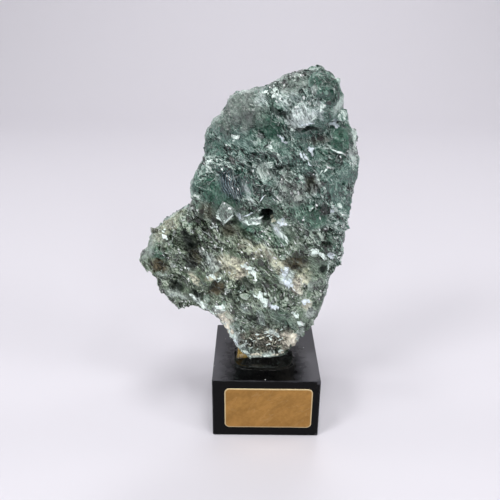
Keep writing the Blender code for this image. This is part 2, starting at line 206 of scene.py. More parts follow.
# The back's patches, in the same columns. Its deep patch is painted shade and its frost patches are partly
# painted highlight.
BACK_PATCHES = [
    ("grey", 10.0, 96.0, 12.0, 7.0, 30, 0.8),
    ("green", -8.0, 84.0, 13.0, 7.0, 48, 0.8),
    ("blue", 12.0, 74.0, 7.0, 4.0, 50, 0.7),
    ("brown", -14.0, 66.0, 7.0, 5.0, 10, 0.7),
    ("frost", 18.0, 62.0, 6.0, 3.0, 40, 0.6),
    ("green", 4.0, 56.0, 12.0, 6.0, 48, 0.7),
    ("buff", -6.0, 44.0, 12.0, 3.4, 48, 0.35),
    ("frost", -9.0, 40.0, 5.0, 1.8, 48, 0.6),
    ("smooth", 14.0, 84.0, 6.0, 4.0, 48, 0.8),
    ("smooth", -12.0, 56.0, 7.0, 4.0, 48, 0.8),
    ("smooth", 4.0, 30.0, 6.0, 4.0, 48, 0.8),
    ("grey", -32.0, 44.0, 8.0, 7.0, 40, 0.7),
    ("brown", 14.0, 36.0, 7.0, 5.0, 30, 0.7),
    ("deep", -22.0, 34.0, 7.0, 4.0, 40, 0.6),
    ("frost", 2.0, 22.0, 7.0, 3.0, 45, 0.5),
    ("brown", 0.0, 8.0, 9.0, 5.0, 0, 0.6),
]
# The little black pit near the middle of the front: x and height above the block, in metres.
PIT = (-0.8 * MM, 60.0 * MM)
PIT_DEPTH = 5.0 * MM
CREVICE_DEPTH = 0.9 * MM
# Rounded bumps: x, height above the block, half length, half width, slope in degrees and rise, all
# lengths in millimetres.
DOMES = [
    (-10.2, 96.6, 5.2, 3.6, 35, 0.9),
    (-17.2, 90.0, 3.0, 3.0, 0, 0.9),
    (-5.0, 99.4, 2.6, 1.8, 20, 0.5),
    (-11.6, 90.2, 4.2, 2.6, -20, 0.8),
    (-6.4, 93.8, 2.8, 2.6, 0, 0.9),
    (-1.2, 91.2, 4.4, 3.0, -35, 1.1),
    (9.0, 95.0, 5.4, 3.6, 20, 1.2),
    (16.0, 103.0, 6.0, 4.4, -50, 1.4),
    (23.2, 87.0, 4.0, 5.2, 0, 1.2),
    (18.5, 80.0, 4.4, 3.6, -30, 0.9),
    (7.5, 71.5, 6.0, 4.6, -35, 1.3),
    (13.5, 62.0, 8.0, 5.0, -45, 1.1),
    (-19.0, 80.0, 3.0, 4.0, 0, 0.9),
    (-22.0, 68.0, 2.6, 4.4, 0, 0.9),
]
# Deep is painted shade, silk a painted sheen and ice a painted reflection, and frost is pale mica that is
# partly painted highlight. They are listed with the minerals.
MINERALS = ("olive", "grey", "green", "blue", "brown", "buff", "cream", "net", "ice", "frost")
MINERALS += ("silk", "deep", "smooth")

# Single mica books that catch the eye: x, height above the block, length, width, the length's
# slope in degrees, how far it nods up (+) and turns right (+) in degrees, and its mineral. The
# frost and ice books are pale mica that is partly painted highlight.
LANDMARK_BOOKS = [
    (-15.2, 61.2, 10.2, 10.4, 8, 12, -14, "grey"),  # the square flake, on a whiter one
    (-16.1, 60.1, 9.4, 9.8, 8, 12, -14, "frost"),
    (-10.0, 58.8, 5.0, 1.2, -64, 20, -20, "ice"),  # blue-white strands beside the pit
    (-8.0, 57.0, 4.8, 1.3, -46, 24, -12, "frost"),
    (-5.4, 56.4, 5.4, 1.4, 10, 34, -8, "frost"),
    (-4.6, 58.2, 5.0, 1.2, 18, 34, 4, "frost"),
    (-6.4, 59.8, 5.0, 1.0, 22, 34, 4, "ice"),
    (1.5, 58.2, 4.4, 1.8, 52, 16, 18, "buff"),
    (4.6, 57.4, 3.4, 2.6, 50, 22, 10, "ice"),
    (2.6, 54.8, 5.0, 0.9, -58, 20, -6, "ice"),
    (3.8, 53.4, 5.2, 0.9, -52, 20, -6, "frost"),
    (5.8, 51.8, 5.0, 1.2, -58, 20, 0, "frost"),
    (-20.4, 78.2, 4.2, 1.2, 40, 20, 0, "frost"),
    (-20.2, 75.8, 4.8, 1.2, -45, 20, 0, "frost"),
    (-2.4, 66.2, 4.8, 0.8, 48, 24, 0, "ice"),
    (1.6, 66.0, 4.6, 0.8, -42, 24, 0, "ice"),
    (-19.1, 55.2, 3.0, 2.0, 10, 26, 0, "frost"),
    (-7.2, 40.8, 4.6, 3.0, -35, 26, 0, "frost"),
    (-5.4, 38.4, 5.6, 2.6, -58, 26, 5, "frost"),
    (-2.6, 30.4, 5.0, 3.6, -40, 28, 0, "frost"),
    (-0.8, 28.4, 4.6, 3.2, -60, 28, 0, "frost"),
    (2.0, 26.0, 4.4, 2.8, -55, 14, 5, "ice"),
    (6.0, 38.6, 5.0, 3.4, -80, 22, 8, "ice"),
    (7.0, 35.4, 4.6, 3.4, -70, 18, 8, "ice"),
    (16.6, 47.2, 4.6, 3.2, 20, 26, 0, "frost"),
    (18.8, 46.0, 5.0, 2.8, -30, 20, 6, "frost"),
    (21.6, 45.4, 4.4, 3.0, -60, 24, 10, "ice"),
    (21.8, 38.8, 6.0, 1.1, 84, 10, 10, "frost"),
    (20.3, 62.8, 4.0, 1.8, -35, 26, 5, "ice"),
    (11.4, 80.4, 5.4, 1.8, -48, 18, 5, "ice"),
    (17.0, 76.4, 5.4, 1.1, 44, 20, 10, "frost"),
    (13.2, 83.2, 4.4, 3.0, -80, 20, 5, "ice"),
    (22.6, 82.6, 5.6, 1.3, -28, 24, 10, "frost"),
    (20.3, 91.4, 4.4, 2.6, -60, 22, 10, "ice"),
    (3.6, 86.2, 4.4, 1.8, -48, 26, 0, "ice"),
    (-0.3, 83.8, 3.4, 1.9, -30, 22, 0, "frost"),
    (-11.0, 86.6, 3.6, 2.4, 8, 34, -5, "frost"),
    (0.9, 101.6, 3.6, 2.2, 80, 26, -5, "frost"),
    (-2.2, 101.2, 2.6, 1.8, 0, 26, -5, "frost"),
    (6.8, 90.2, 2.4, 1.8, 0, 30, 0, "frost"),
    (9.8, 92.2, 5.4, 1.2, 12, 30, 0, "ice"),  # the silver fan's lower edge
    (12.6, 94.4, 3.6, 1.0, 40, 36, 8, "frost"),
    (14.8, 97.6, 4.4, 0.9, 74, 24, 14, "frost"),
    (-36.2, 51.8, 4.8, 1.9, -55, 26, -5, "frost"),
    (-26.8, 36.4, 6.4, 2.0, -58, 18, 0, "buff"),
    (-21.4, 43.5, 5.4, 1.4, -70, 18, 0, "frost"),
    (-20.0, 37.0, 5.0, 1.8, -24, 24, 0, "frost"),
    (-17.4, 35.2, 2.4, 1.8, 20, 32, 0, "frost"),
    (-26.8, 28.2, 6.0, 1.7, -45, 36, -10, "frost"),  # the notch's white rim
    (-23.6, 24.8, 6.0, 1.7, -45, 36, -10, "frost"),
    (-20.6, 21.6, 6.0, 1.7, -42, 36, -10, "frost"),
    (-17.6, 24.4, 4.4, 2.2, -15, 24, 0, "frost"),
    (10.7, 21.2, 4.0, 2.2, -40, 26, 8, "frost"),
    (12.4, 17.4, 4.4, 2.4, -50, 26, 8, "frost"),
    (13.6, 27.0, 4.0, 2.4, 0, 24, 8, "ice"),
    (1.6, 13.6, 4.0, 1.6, -20, 28, 0, "frost"),
    (3.4, 12.2, 4.0, 1.4, -46, 28, 0, "frost"),
    (-9.0, 26.2, 5.6, 2.8, -58, 12, 0, "grey"),
    (-2.2, 20.6, 7.6, 4.0, -58, 12, 0, "grey"),
    (-15.4, 18.4, 6.6, 2.4, -72, 16, -12, "cream"),  # splinters on the foot's left edge
    (-14.4, 15.0, 7.4, 2.4, -70, 16, -12, "cream"),
    (-13.8, 12.6, 7.8, 1.8, -66, 18, -8, "frost"),
    (-12.2, 10.6, 7.8, 1.8, -68, 18, -8, "frost"),
    (-11.4, 8.0, 7.0, 1.8, -60, 20, -8, "ice"),
    (-10.6, 6.0, 5.0, 1.4, -50, 20, -8, "frost"),
    (-11.6, 11.6, 7.0, 0.8, -78, 15, -6, "frost"),
    (-10.2, 12.4, 6.6, 0.7, 62, 15, 0, "frost"),
    (-13.6, 14.6, 7.2, 0.8, -58, 15, -6, "frost"),
    (-8.0, 7.4, 7.4, 0.9, 38, 20, 0, "frost"),
    (-8.0, 3.4, 5.0, 1.4, -24, 20, -10, "frost"),  # the foot's flaky lip
    (-4.2, 2.4, 5.0, 1.3, -12, 20, 0, "cream"),
    (0.2, 1.8, 5.0, 1.3, 0, 20, 0, "frost"),
    (4.6, 2.2, 5.0, 1.3, 16, 20, 10, "cream"),
    (9.2, 9.0, 6.6, 4.0, 62, 10, 14, "cream"),
    (8.8, 7.4, 5.6, 3.0, 60, 12, 20, "cream"),
    (10.6, 10.4, 4.4, 2.6, 50, 12, 20, "cream"),
]

# ---- settings ----


def linear(hex_colour):
    """An sRGB hex colour as linear red, green, blue and full alpha."""
    shares = [int(hex_colour[n : n + 2], 16) / 255 for n in (1, 3, 5)]
    return tuple(s / 12.92 if s <= 0.04045 else ((s + 0.055) / 1.055) ** 2.4 for s in shares) + (1.0,)


def colour_setting(name, hex_colour, description):
    return bpy.props.FloatVectorProperty(
        name=name,
        description=description,
        subtype="COLOR",
        size=4,
        min=0.0,
        max=1.0,
        default=linear(hex_colour),
    )


def length_setting(name, metres, description):
    return bpy.props.FloatProperty(
        name=name, description=description, subtype="DISTANCE", unit="LENGTH", precision=5, default=metres
    )


class StoneSettings(bpy.types.PropertyGroup):
    """Sizes and colours of the mica stone."""

    grain: length_setting("Mesh grain", 0.475 * MM, "Spacing of the stone's fine mesh")
    streak_slope: bpy.props.FloatProperty(
        name="Streak slope",
        description="Slope of the mica's grain, seen from the front",
        subtype="ANGLE",
        default=math.radians(-50),
    )
    flake_spacing: length_setting("Flake spacing", 1.7 * MM, "Least distance between mica flakes")
    glitter_spacing: length_setting("Glitter spacing", 0.8 * MM, "Least distance between fine flakes")
    book_spacing: length_setting("Book spacing", 3.4 * MM, "Least distance between thick mica books")
    dark_green: colour_setting("Dark green", "#1E3732", "Chrome mica in its shaded gaps")
    mid_green: colour_setting("Middle green", "#3F665A", "Chrome mica seen on its sheets")
    pale_green: colour_setting("Pale green", "#94AFA5", "Chrome mica in thin sheets")
    # Silver is also a painted highlight, on the pale lower edges of the sheets and on the frost patches.
    silver: colour_setting("Silver", "#DFECE7", "Colourless mica and its broken edges")
    ice: colour_setting("Ice", "#D2DCE4", "Colourless mica that mirrors a cool window")
    grey: colour_setting("Grey", "#747F78", "Quartz seen through mica")
    vivid_green: colour_setting("Vivid green", "#335D4C", "Mica rich in chrome")
    olive: colour_setting("Olive", "#5D6744", "Mica clouded by rust in the lower half")
    blue: colour_setting("Blue green", "#0B1D27", "Steep sheets that lie edge on")
    steel: colour_setting("Steel", "#93B2BA", "The edges of those sheets")
    brown: colour_setting("Brown", "#443A29", "Iron stain in the pits")
    buff: colour_setting("Buff", "#BFBDA6", "Feldspar and pale stain")
    cream: colour_setting("Cream", "#E4DDCC", "Fresh feldspar splinters")
    # The deep colour is painted shade, in crevices, hollows, the pit and the gaps under the sheets, and it
    # ends the dark side of the tone's ramp.
    deep: colour_setting("Deep", "#0E1713", "Crevices")
    # The fibres' near white is a painted sheen.
    fibre: colour_setting("Fibres", "#EEF7F9", "Silky fibres of mica")
    # Sparks are painted glints.
    painted_glint: colour_setting("Sparks", "#F9FCFC", "Small sheets that face a light")


class HolderSettings(bpy.types.PropertyGroup):
    """Sizes and colours of the block, the label and the glue."""

    paint: colour_setting("Paint", "#050506", "The block's satin black paint")
    worn_paint: colour_setting("Worn paint", "#45454A", "The paint where its edges are rubbed")
    # The dust on the block's top is also a painted reflection of the pale room.
    dust_and_reflection: colour_setting("Dust", "#545358", "Dusty paint on the block's top")
    fleck: colour_setting("Flecks", "#DADADA", "Tiny white flecks in the paint")
    foil: colour_setting("Foil", "#B38543", "The label's gold foil")
    foil_shade: colour_setting("Foil shade", "#9C7236", "The foil where it is brushed darker")
    foil_rim: colour_setting("Foil rim", "#E3CFA2", "The label's cut edge")
    glue: colour_setting("Glue", "#A08340", "Set glue where it is thick")
    glue_thin: colour_setting("Thin glue", "#0B0B0B", "Set glue where the black paint shows through")


class StageSettings(bpy.types.PropertyGroup):
    """The pale floor, the lights and the camera."""

    floor: colour_setting("Floor", "#E2DFE6", "The plain pale floor and backdrop")
    room: colour_setting("Room", "#B9BCC0", "The light of the room all round")
    brightness: bpy.props.FloatProperty(
        name="Brightness", description="Scales every light", default=0.54, min=0.0
    )


# ---- small tools ----


def add_node(tree, kind, inputs=(), **settings):
    """Adds a node with its settings. Its inputs, in order or by name, are values, sockets or other
    nodes, and a node stands for its first output."""
    node = tree.nodes.new(kind)
    for name, value in settings.items():
        setattr(node, name, value)
    pairs = inputs.items() if isinstance(inputs, dict) else enumerate(inputs)
    for socket, value in pairs:
        if isinstance(value, bpy.types.Node):
            value = value.outputs[0]
        if isinstance(value, bpy.types.NodeSocket):
            tree.links.new(value, node.inputs[socket])
        else:
            node.inputs[socket].default_value = value
    return node


def start_material(name):
    """A material with no nodes yet, and the function that adds one to it."""
    material = bpy.data.materials.new(name)
    material.use_nodes = True
    material.node_tree.nodes.clear()
    return material, partial(add_node, material.node_tree)


def new_object(name, mesh, material=None):
    obj = bpy.data.objects.new(name, mesh)
    bpy.context.scene.collection.objects.link(obj)
    if material:
        mesh.materials.clear()
        mesh.materials.append(material)
    return obj


def drop(obj):
    """Removes an object and its mesh."""
    mesh = obj.data
    bpy.data.objects.remove(obj)
    bpy.data.meshes.remove(mesh)


def settle(obj):
    """Turns an object's modifiers into plain mesh."""
    bpy.context.view_layer.update()
    graph = bpy.context.evaluated_depsgraph_get()
    mesh = bpy.data.meshes.new_from_object(obj.evaluated_get(graph))
    obj.modifiers.clear()
    old = obj.data
    obj.data = mesh
    bpy.data.meshes.remove(old)
    mesh.name = obj.name


def ride_as(piece, slot, *replaced):
    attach(piece, "root")
    if replaced:
        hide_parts(*replaced)


def read(items, name, width=1, kind=np.float32):
    """One property of a mesh's points, corners or faces, with a row for each."""
    values = np.empty(len(items) * width, kind)
    items.foreach_get(name, values)
    return values.reshape(-1, width) if width > 1 else values


def points_of(mesh):
    return read(mesh.vertices, "co", 3).astype(float)


def finished_mesh(bm, name):
    """A mesh from what a BMesh holds, which is then freed."""
    mesh = bpy.data.meshes.new(name)
    bm.to_mesh(mesh)
    bm.free()
    return mesh


def store(mesh, name, values, domain="POINT"):
    """Keeps one number for each point or face under a name that the material reads."""
    old = mesh.attributes.get(name)
    if old:
        mesh.attributes.remove(old)
    layer = mesh.attributes.new(name, "FLOAT", domain)
    layer.data.foreach_set("value", np.ascontiguousarray(values, np.float32))


def noise_at(points, per_metre, shift=0.0):
    """Smooth noise at each point, from about -0.7 to 0.7."""
    places = points * per_metre + (0.0, 0.0, shift)
    return np.array([noise.noise(place) for place in places])


def smooth_step(low, high, values):
    share = np.clip((values - low) / (high - low), 0.0, 1.0)
    return share * share * (3 - 2 * share)


# ---- the stone's colours ----


def from_middle(dx, dz, half_length, half_width, slope):
    """How far points lie from the middle of an ellipse, whose border is at 1."""
    angle = math.radians(slope)
    along = (dx * math.cos(angle) + dz * math.sin(angle)) / (half_length * MM)
    across = (dz * math.cos(angle) - dx * math.sin(angle)) / (half_width * MM)
    return np.sqrt(along**2 + across**2)


def patch_weight(x, height, wander, patch):
    """How strongly a patch shows. Its border wanders, though less round a small patch."""
    _mineral, px, ph, half_length, half_width, slope, strength = patch
    ragged = min(1.0, 0.15 * half_width + 0.1)
    dx, dz = x - px * MM + ragged * wander[:, 0], height - ph * MM + ragged * wander[:, 1]
    away = from_middle(dx, dz, half_length, half_width, slope)
    return strength * (1 - smooth_step(0.55, 1.35, away))


def mineral_shares(points):
    """For each mineral, how strongly it shows at each point, from 0 to 1, with ragged borders."""
    broad = np.stack([noise_at(points, 320, shift) for shift in (0.0, 40.0)], axis=1)
    fine = np.stack([noise_at(points, 900, shift) for shift in (80.0, 120.0)], axis=1)
    wander = 3.0 * MM * broad + 1.6 * MM * fine
    x, height = points[:, 0], points[:, 2] - BLOCK_TOP
    front = points[:, 1] < 1.0 * MM
    shares = {mineral: np.zeros(len(points)) for mineral in MINERALS}
    for patches, side in ((FRONT_PATCHES, front), (BACK_PATCHES, ~front)):
        for patch in patches:
            weight = np.where(side, patch_weight(x, height, wander, patch), 0.0)
            shares[patch[0]] = np.maximum(shares[patch[0]], weight)
    return shares


def dome_rise(points):
    """How far each point stands out on one of the front's rounded bumps, with a crease round it."""
    rise = np.zeros(len(points))
    wander = 1.2 * MM * noise_at(points, 260, 20.0)
    for x, height, half_length, half_width, slope, top in DOMES:
        dx = points[:, 0] + wander - x * MM
        dz = points[:, 2] - wander - BLOCK_TOP - height * MM
        away = from_middle(dx, dz, half_length, half_width, slope)
        crease_highlight = 0.45 * np.exp(-(((away - 1.08) / 0.12) ** 2))
        dome = np.sqrt(np.clip(1 - away**2, 0, 1)) - crease_highlight
        near = (away < 1.4) & (points[:, 1] < 0)
        rise = np.where(near, np.maximum(rise, 0) + top * MM * dome, rise)
    return rise


def from_pit(points):
    """How far points lie from the middle of the pit, seen from the front."""
    return np.hypot(points[:, 0] - PIT[0], points[:, 2] - BLOCK_TOP - PIT[1])


# ---- materials ----

# Sheets of four sizes in the stone's finish: length, width, how far each leans, its share of the
# light and dark, which holds its random tone and the painted light and shade across it, and how wide
# its broken border is, in sheet widths.
SHEET_SIZES = (
    (7.5 * MM, 4.6 * MM, 0.36, 0.28, 0.03),
    (3.2 * MM, 1.5 * MM, 0.46, 0.28, 0.06),
    (1.6 * MM, 0.55 * MM, 0.60, 0.28, 0),
    (0.9 * MM, 0.28 * MM, 0.85, 0.40, 0),
)
HALF = (0.5, 0.5, 0.5)  # the middle of a random colour
WAVE_BAND = 0.314  # a wave texture of scale 1 repeats every 2 pi / 20


def grain_coordinates(add, slope):
    """Object coordinates turned to the mica's grain, which bends a little from place to place."""
    place = add("ShaderNodeTexCoord").outputs["Object"]
    bend = add("ShaderNodeTexNoise", {"Vector": place, "Scale": 1 / (14 * MM), "Detail": 2.0})
    bend = add("ShaderNodeVectorMath", (bend.outputs["Color"], HALF), operation="SUBTRACT")
    bend = add("ShaderNodeVectorMath", {0: bend, "Scale": 9 * MM}, operation="SCALE")
    bent = add("ShaderNodeVectorMath", (place, bend), operation="ADD")
    return add("ShaderNodeVectorRotate", {"Vector": bent, "Angle": slope}, rotation_type="Y_AXIS")


def cleavage_cells(add, grain, length, width):
    """Sheets of this length and width along the grain: for each point its sheet's random colour,
    its place across the sheet from about -0.5 to 0.5, and how near it is to the sheet's edge."""
    sizes = (1 / length, 1 / width, 1 / width)
    place = add("ShaderNodeVectorMath", (grain, sizes), operation="MULTIPLY")
    sheet = add("ShaderNodeTexVoronoi", {"Vector": place, "Scale": 1.0}).outputs
    edge = add("ShaderNodeTexVoronoi", {"Vector": place, "Scale": 1.0}, feature="DISTANCE_TO_EDGE")
    offset = add("ShaderNodeVectorMath", (place, sheet["Position"]), operation="SUBTRACT")
    across = add("ShaderNodeSeparateXYZ", (offset,)).outputs["Z"]
    return sheet["Color"], across, edge


def leaning_sheets(add, grain, calm):
    """The normal, the tone and how strongly the pale and the dark edges show. Every sheet leans its
    own way and has its own light or dark, and is painted lighter towards its lower edge and darker
    towards its upper one, as painted light and shade. Its lower edge is broken and pale, partly a
    painted highlight, and its upper edge is dark with painted shadow, under the sheet above."""
    normal = add("ShaderNodeNewGeometry").outputs["Normal"]
    tone = 0.0
    edges = [0.0, 0.0]
    for length, width, lean, share, border in SHEET_SIZES:
        chance, across, edge = cleavage_cells(add, grain, length, width)
        parts = add("ShaderNodeSeparateColor", (chance,)).outputs
        tone = add("ShaderNodeMath", (parts[2], share, tone), operation="MULTIPLY_ADD")
        # Painted light and shade: each sheet is lighter towards its lower edge and darker towards its
        # upper one.
        tone = add("ShaderNodeMath", (across, -0.35 * share, tone), operation="MULTIPLY_ADD")
        own = add("ShaderNodeMath", (calm, -0.7 * lean, lean), operation="MULTIPLY_ADD")
        tilt = add("ShaderNodeVectorMath", (chance, HALF), operation="SUBTRACT")
        tilt = add("ShaderNodeVectorMath", {0: tilt, "Scale": own}, operation="SCALE")
        normal = add("ShaderNodeVectorMath", (normal, tilt), operation="ADD")
        if not border:
            continue
        # For each edge: where it lies across the sheet, how far it reaches and how rare it is. The pale
        # lower edge is partly a painted highlight, and the dark upper edge is painted shadow.
        lower = add("ShaderNodeMapRange", (across, -0.3, -0.1, 1, 0))
        upper = add("ShaderNodeMapRange", (across, 0.1, 0.3, 0, 1))
        sides = ((lower, 2 * border, parts[0], 0.55), (upper, 4 * border, parts[1], 0.45))
        for side, (where, reach, luck, rare) in enumerate(sides):
            near = add("ShaderNodeMapRange", (edge, border, reach, 1, 0))
            shown = add("ShaderNodeMath", (where, near), operation="MULTIPLY")
            chosen = add("ShaderNodeMapRange", (luck, rare, 0.8, 0, 1))
            shown = add("ShaderNodeMath", (shown, chosen), operation="MULTIPLY")
            edges[side] = add("ShaderNodeMath", (edges[side], shown), operation="MAXIMUM")
    normal = add("ShaderNodeVectorMath", (normal,), operation="NORMALIZE")
    return normal, tone, *edges


def mineral_coats(add, stone, place, tone, layer):
    """Each mineral's share and colour. It has its own hue and keeps its sheets' light and dark, with
    the painted light and shade across each sheet.
    """
    light = add("ShaderNodeMapRange", (tone, 0.1, 0.95, 0.18, 1.9))
    bright = add("ShaderNodeMapRange", (tone, 0.15, 0.8, 0.55, 1.35))
    # Feldspar is granular: each grain, about 0.8 mm wide, has its own light.
    chance = cleavage_cells(add, place, 0.85 * MM, 0.75 * MM)[0]
    chance = add("ShaderNodeSeparateColor", (chance,))
    own = add("ShaderNodeMath", (chance, 1.5), operation="MULTIPLY")
    granular = add("ShaderNodeMath", (light, 0.4, own), operation="MULTIPLY_ADD")
    # Frost is pale mica that is partly painted highlight, and ice is a painted reflection of a cool
    # window.
    swatches = {
        "olive": (stone.olive, light),
        "green": (stone.vivid_green, light),
        "grey": (stone.grey, light),
        "brown": (stone.brown, light),
        "buff": (stone.buff, granular),
        "net": ([0.38 * part for part in stone.brown], light),
        "cream": (stone.cream, bright),
        "ice": (stone.ice, bright),
        "frost": (stone.silver, bright),
    }
    coats = []
    for mineral, (swatch, strength) in swatches.items():
        shaded = add("ShaderNodeVectorMath", {0: swatch[:3], "Scale": strength}, operation="SCALE")
        share = add("ShaderNodeMath", (layer[mineral], 0.9), operation="MULTIPLY")
        coats.append((share, shaded))
    return coats


def pale_threads(add, place, streaks):
    """Threads that run every way over the brown near the foot."""
    thread = 0.0
    for spacing in (3.0 * MM, 1.9 * MM):
        inputs = {"Vector": place, "Scale": 1 / spacing, "Detail": 1.0, "Distortion": 1.5}
        wander = add("ShaderNodeTexNoise", inputs)
        away = add("ShaderNodeMath", (wander, 0.5), operation="SUBTRACT")
        away = add("ShaderNodeMath", (away,), operation="ABSOLUTE")
        line = add("ShaderNodeMapRange", (away, 0.0, 0.03, 1, 0))
        thread = add("ShaderNodeMath", (thread, line), operation="MAXIMUM")
    worn = add("ShaderNodeMapRange", (streaks, 0.35, 0.55, 0.1, 1))
    return add("ShaderNodeMath", (thread, worn), operation="MULTIPLY")


def silk_fibres(add, grain, tone, silk):
    """Fine fibres along the grain, 0.3 mm apart, painted pale as a silky sheen."""
    sizes = (1 / (2.2 * MM), 1 / (0.5 * MM), 1 / (0.3 * MM))
    drawn_out = add("ShaderNodeVectorMath", (grain, sizes), operation="MULTIPLY")
    inputs = {"Vector": drawn_out, "Scale": 1.0, "Detail": 3.0, "Roughness": 0.6, "Distortion": 0.4}
    fibres = add("ShaderNodeTexNoise", inputs)
    light = add("ShaderNodeMath", (tone, 0.5), operation="SUBTRACT")
    fibres = add("ShaderNodeMath", (light, 0.25, fibres), operation="MULTIPLY_ADD")
    fibres = add("ShaderNodeMath", (silk, 0.12, fibres), operation="MULTIPLY_ADD")
    return add("ShaderNodeMapRange", (fibres, 0.46, 0.68, 0, 1))


def book_ribs(add, grain, streaks):
    """The pale edges of a book's sheets where it lies edge on, 0.85 mm apart."""
    steep = add("ShaderNodeVectorRotate", {"Vector": grain, "Angle": -0.22}, rotation_type="Y_AXIS")
    steep = add("ShaderNodeVectorMath", (steep, (0.35, 1.0, 1.0)), operation="MULTIPLY")
    inputs = {"Vector": steep, "Distortion": 4.5, "Detail": 3.0, "Detail Scale": 1.0}
    inputs["Scale"] = WAVE_BAND / (0.85 * MM)
    ribs = add("ShaderNodeTexWave", inputs, bands_direction="Z").outputs["Fac"]
    ribs = add("ShaderNodeMapRange", (ribs, 0.75, 1.0, 0, 1.0))
    worn = add("ShaderNodeMapRange", (streaks, 0.35, 0.6, 0.1, 1))
    return add("ShaderNodeMath", (ribs, worn), operation="MULTIPLY")


def mica_material(stone):
    """Chrome mica schist, cleaved and broken: green sheets with a pearly shine that glint white
    where they face a light, with more glints, sheen and highlights painted in white, painted light and
    shade across the sheets, painted shade in their gaps and crevices, pale broken edges, and dull
    brown and buff stains between them."""
    material, add = start_material("chrome mica schist")
    place = add("ShaderNodeTexCoord").outputs["Object"]
    grain = grain_coordinates(add, stone.streak_slope)
    names = (*MINERALS, "flake", "tone", "sheet_edge")
    layer = {name: add("ShaderNodeAttribute", attribute_name=name).outputs["Fac"] for name in names}
    calm = add("ShaderNodeMath", (layer["flake"], layer["smooth"]), operation="MAXIMUM")
    normal, tone, pale, dark = leaning_sheets(add, grain, calm)

    # A flake has a tone of its own, and its sheets' light and dark, with their painted light and shade,
    # count for half.
    on_flake = add("ShaderNodeMath", (tone, 0.5), operation="MULTIPLY")
    on_flake = add("ShaderNodeMath", (layer["tone"], 0.6, on_flake), operation="MULTIPLY_ADD")
    on_flake = add("ShaderNodeMath", (on_flake, layer["flake"]), operation="MULTIPLY")
    ground = add("ShaderNodeMath", (1.0, layer["flake"]), operation="SUBTRACT")
    tone = add("ShaderNodeMath", (tone, ground), operation="MULTIPLY")
    tone = add("ShaderNodeMath", (tone, on_flake), operation="ADD")
    # Fine streaks along the grain, 0.2 mm wide.
    sizes = (1 / (1.5 * MM), 1 / (0.3 * MM), 1 / (0.3 * MM))
    drawn_out = add("ShaderNodeVectorMath", (grain, sizes), operation="MULTIPLY")
    inputs = {"Vector": drawn_out, "Scale": 1.0, "Detail": 4.0, "Roughness": 0.7}
    streaks = add("ShaderNodeTexNoise", inputs)
    streaky = add("ShaderNodeMapRange", (streaks, 0.3, 0.7, -0.14, 0.14))
    tone = add("ShaderNodeMath", (tone, streaky), operation="ADD")
    # Whole areas 3 to 8 mm wide are lighter or darker than the rest.
    broad = add("ShaderNodeTexNoise", {"Vector": grain, "Scale": 1 / (6 * MM), "Detail": 1.0})
    broad = add("ShaderNodeMapRange", (broad, 0.35, 0.65, -0.06, 0.06))
    tone = add("ShaderNodeMath", (tone, broad), operation="ADD", use_clamp=True)
    # The rusty half has more contrast, and smooth sheets have less.
    contrast = add("ShaderNodeMath", (layer["olive"], 0.3, 1.5), operation="MULTIPLY_ADD")
    contrast = add("ShaderNodeMath", (layer["smooth"], -1.1, contrast), operation="MULTIPLY_ADD")
    tone = add("ShaderNodeMath", (tone, 0.58), operation="SUBTRACT")
    tone = add("ShaderNodeMath", (tone, contrast, 0.44), operation="MULTIPLY_ADD")

    colour = add("ShaderNodeValToRGB", (tone,))
    # The tone carries the painted light and shade across each sheet into the colour.
    stops = (
        (0.08, stone.deep),
        (0.28, stone.dark_green),
        (0.50, stone.mid_green),
        (0.76, stone.pale_green),
        (0.95, stone.silver),
    )
    ramp = colour.color_ramp
    while len(ramp.elements) < len(stops):
        ramp.elements.new(1.0)
    for element, (position, swatch) in zip(ramp.elements, stops):
        element.position = position
        element.color = tuple(swatch)

    # Stained and shaded places are dull, and the deep green ones shine less than the silvery ones.
    dull = add("ShaderNodeMath", (layer["brown"], layer["deep"]), operation="MAXIMUM")
    dull = add("ShaderNodeMath", (dull, layer["net"]), operation="MAXIMUM")
    shine = add("ShaderNodeMath", (dull, -0.55, 0.75), operation="MULTIPLY_ADD")
    shine = add("ShaderNodeMath", (layer["green"], -0.3, shine), operation="MULTIPLY_ADD", use_clamp=True)
    # Painted glints: small sheets are painted white as if they faced a light, fewer of them where the
    # stone is smooth or dull.
    painted_glint = cleavage_cells(add, grain, 0.9 * MM, 0.5 * MM)[0]
    painted_glint = add("ShaderNodeSeparateColor", (painted_glint,)).outputs[1]
    rare = add("ShaderNodeMath", (layer["smooth"], 0.2, 0.975), operation="MULTIPLY_ADD")
    rare = add("ShaderNodeMath", (dull, 0.2, rare), operation="MULTIPLY_ADD")
    painted_glint = add("ShaderNodeMath", (painted_glint, rare), operation="GREATER_THAN")
    # Dark gaps of painted shadow and pale broken edges, partly painted highlight, part the sheets, in
    # some areas more than in others.
    clear = add("ShaderNodeTexNoise", {"Vector": grain, "Scale": 1 / (9 * MM), "Detail": 1.0})
    clear = add("ShaderNodeMapRange", (clear, 0.4, 0.6, 0.2, 1))
    broken = add("ShaderNodeMath", (calm, -0.8, 1.0), operation="MULTIPLY_ADD")
    broken = add("ShaderNodeMath", (broken, clear), operation="MULTIPLY")
    gap_shadow = add("ShaderNodeMath", (dark, 0.85), operation="MULTIPLY")
    gap_shadow = add("ShaderNodeMath", (gap_shadow, broken), operation="MULTIPLY")
    pale = add("ShaderNodeMath", (pale, 0.75), operation="MULTIPLY")
    pale = add("ShaderNodeMath", (pale, broken), operation="MULTIPLY")
    torn = add("ShaderNodeMapRange", (streaks, 0.42, 0.6, 0, 0.6))
    edge = add("ShaderNodeMath", (layer["sheet_edge"], torn), operation="MULTIPLY")
    edge = add("ShaderNodeMath", (edge, pale), operation="MAXIMUM")
    clean = add("ShaderNodeMath", (dull, -0.6, 1.0), operation="MULTIPLY_ADD")
    edge = add("ShaderNodeMath", (edge, clean), operation="MULTIPLY")

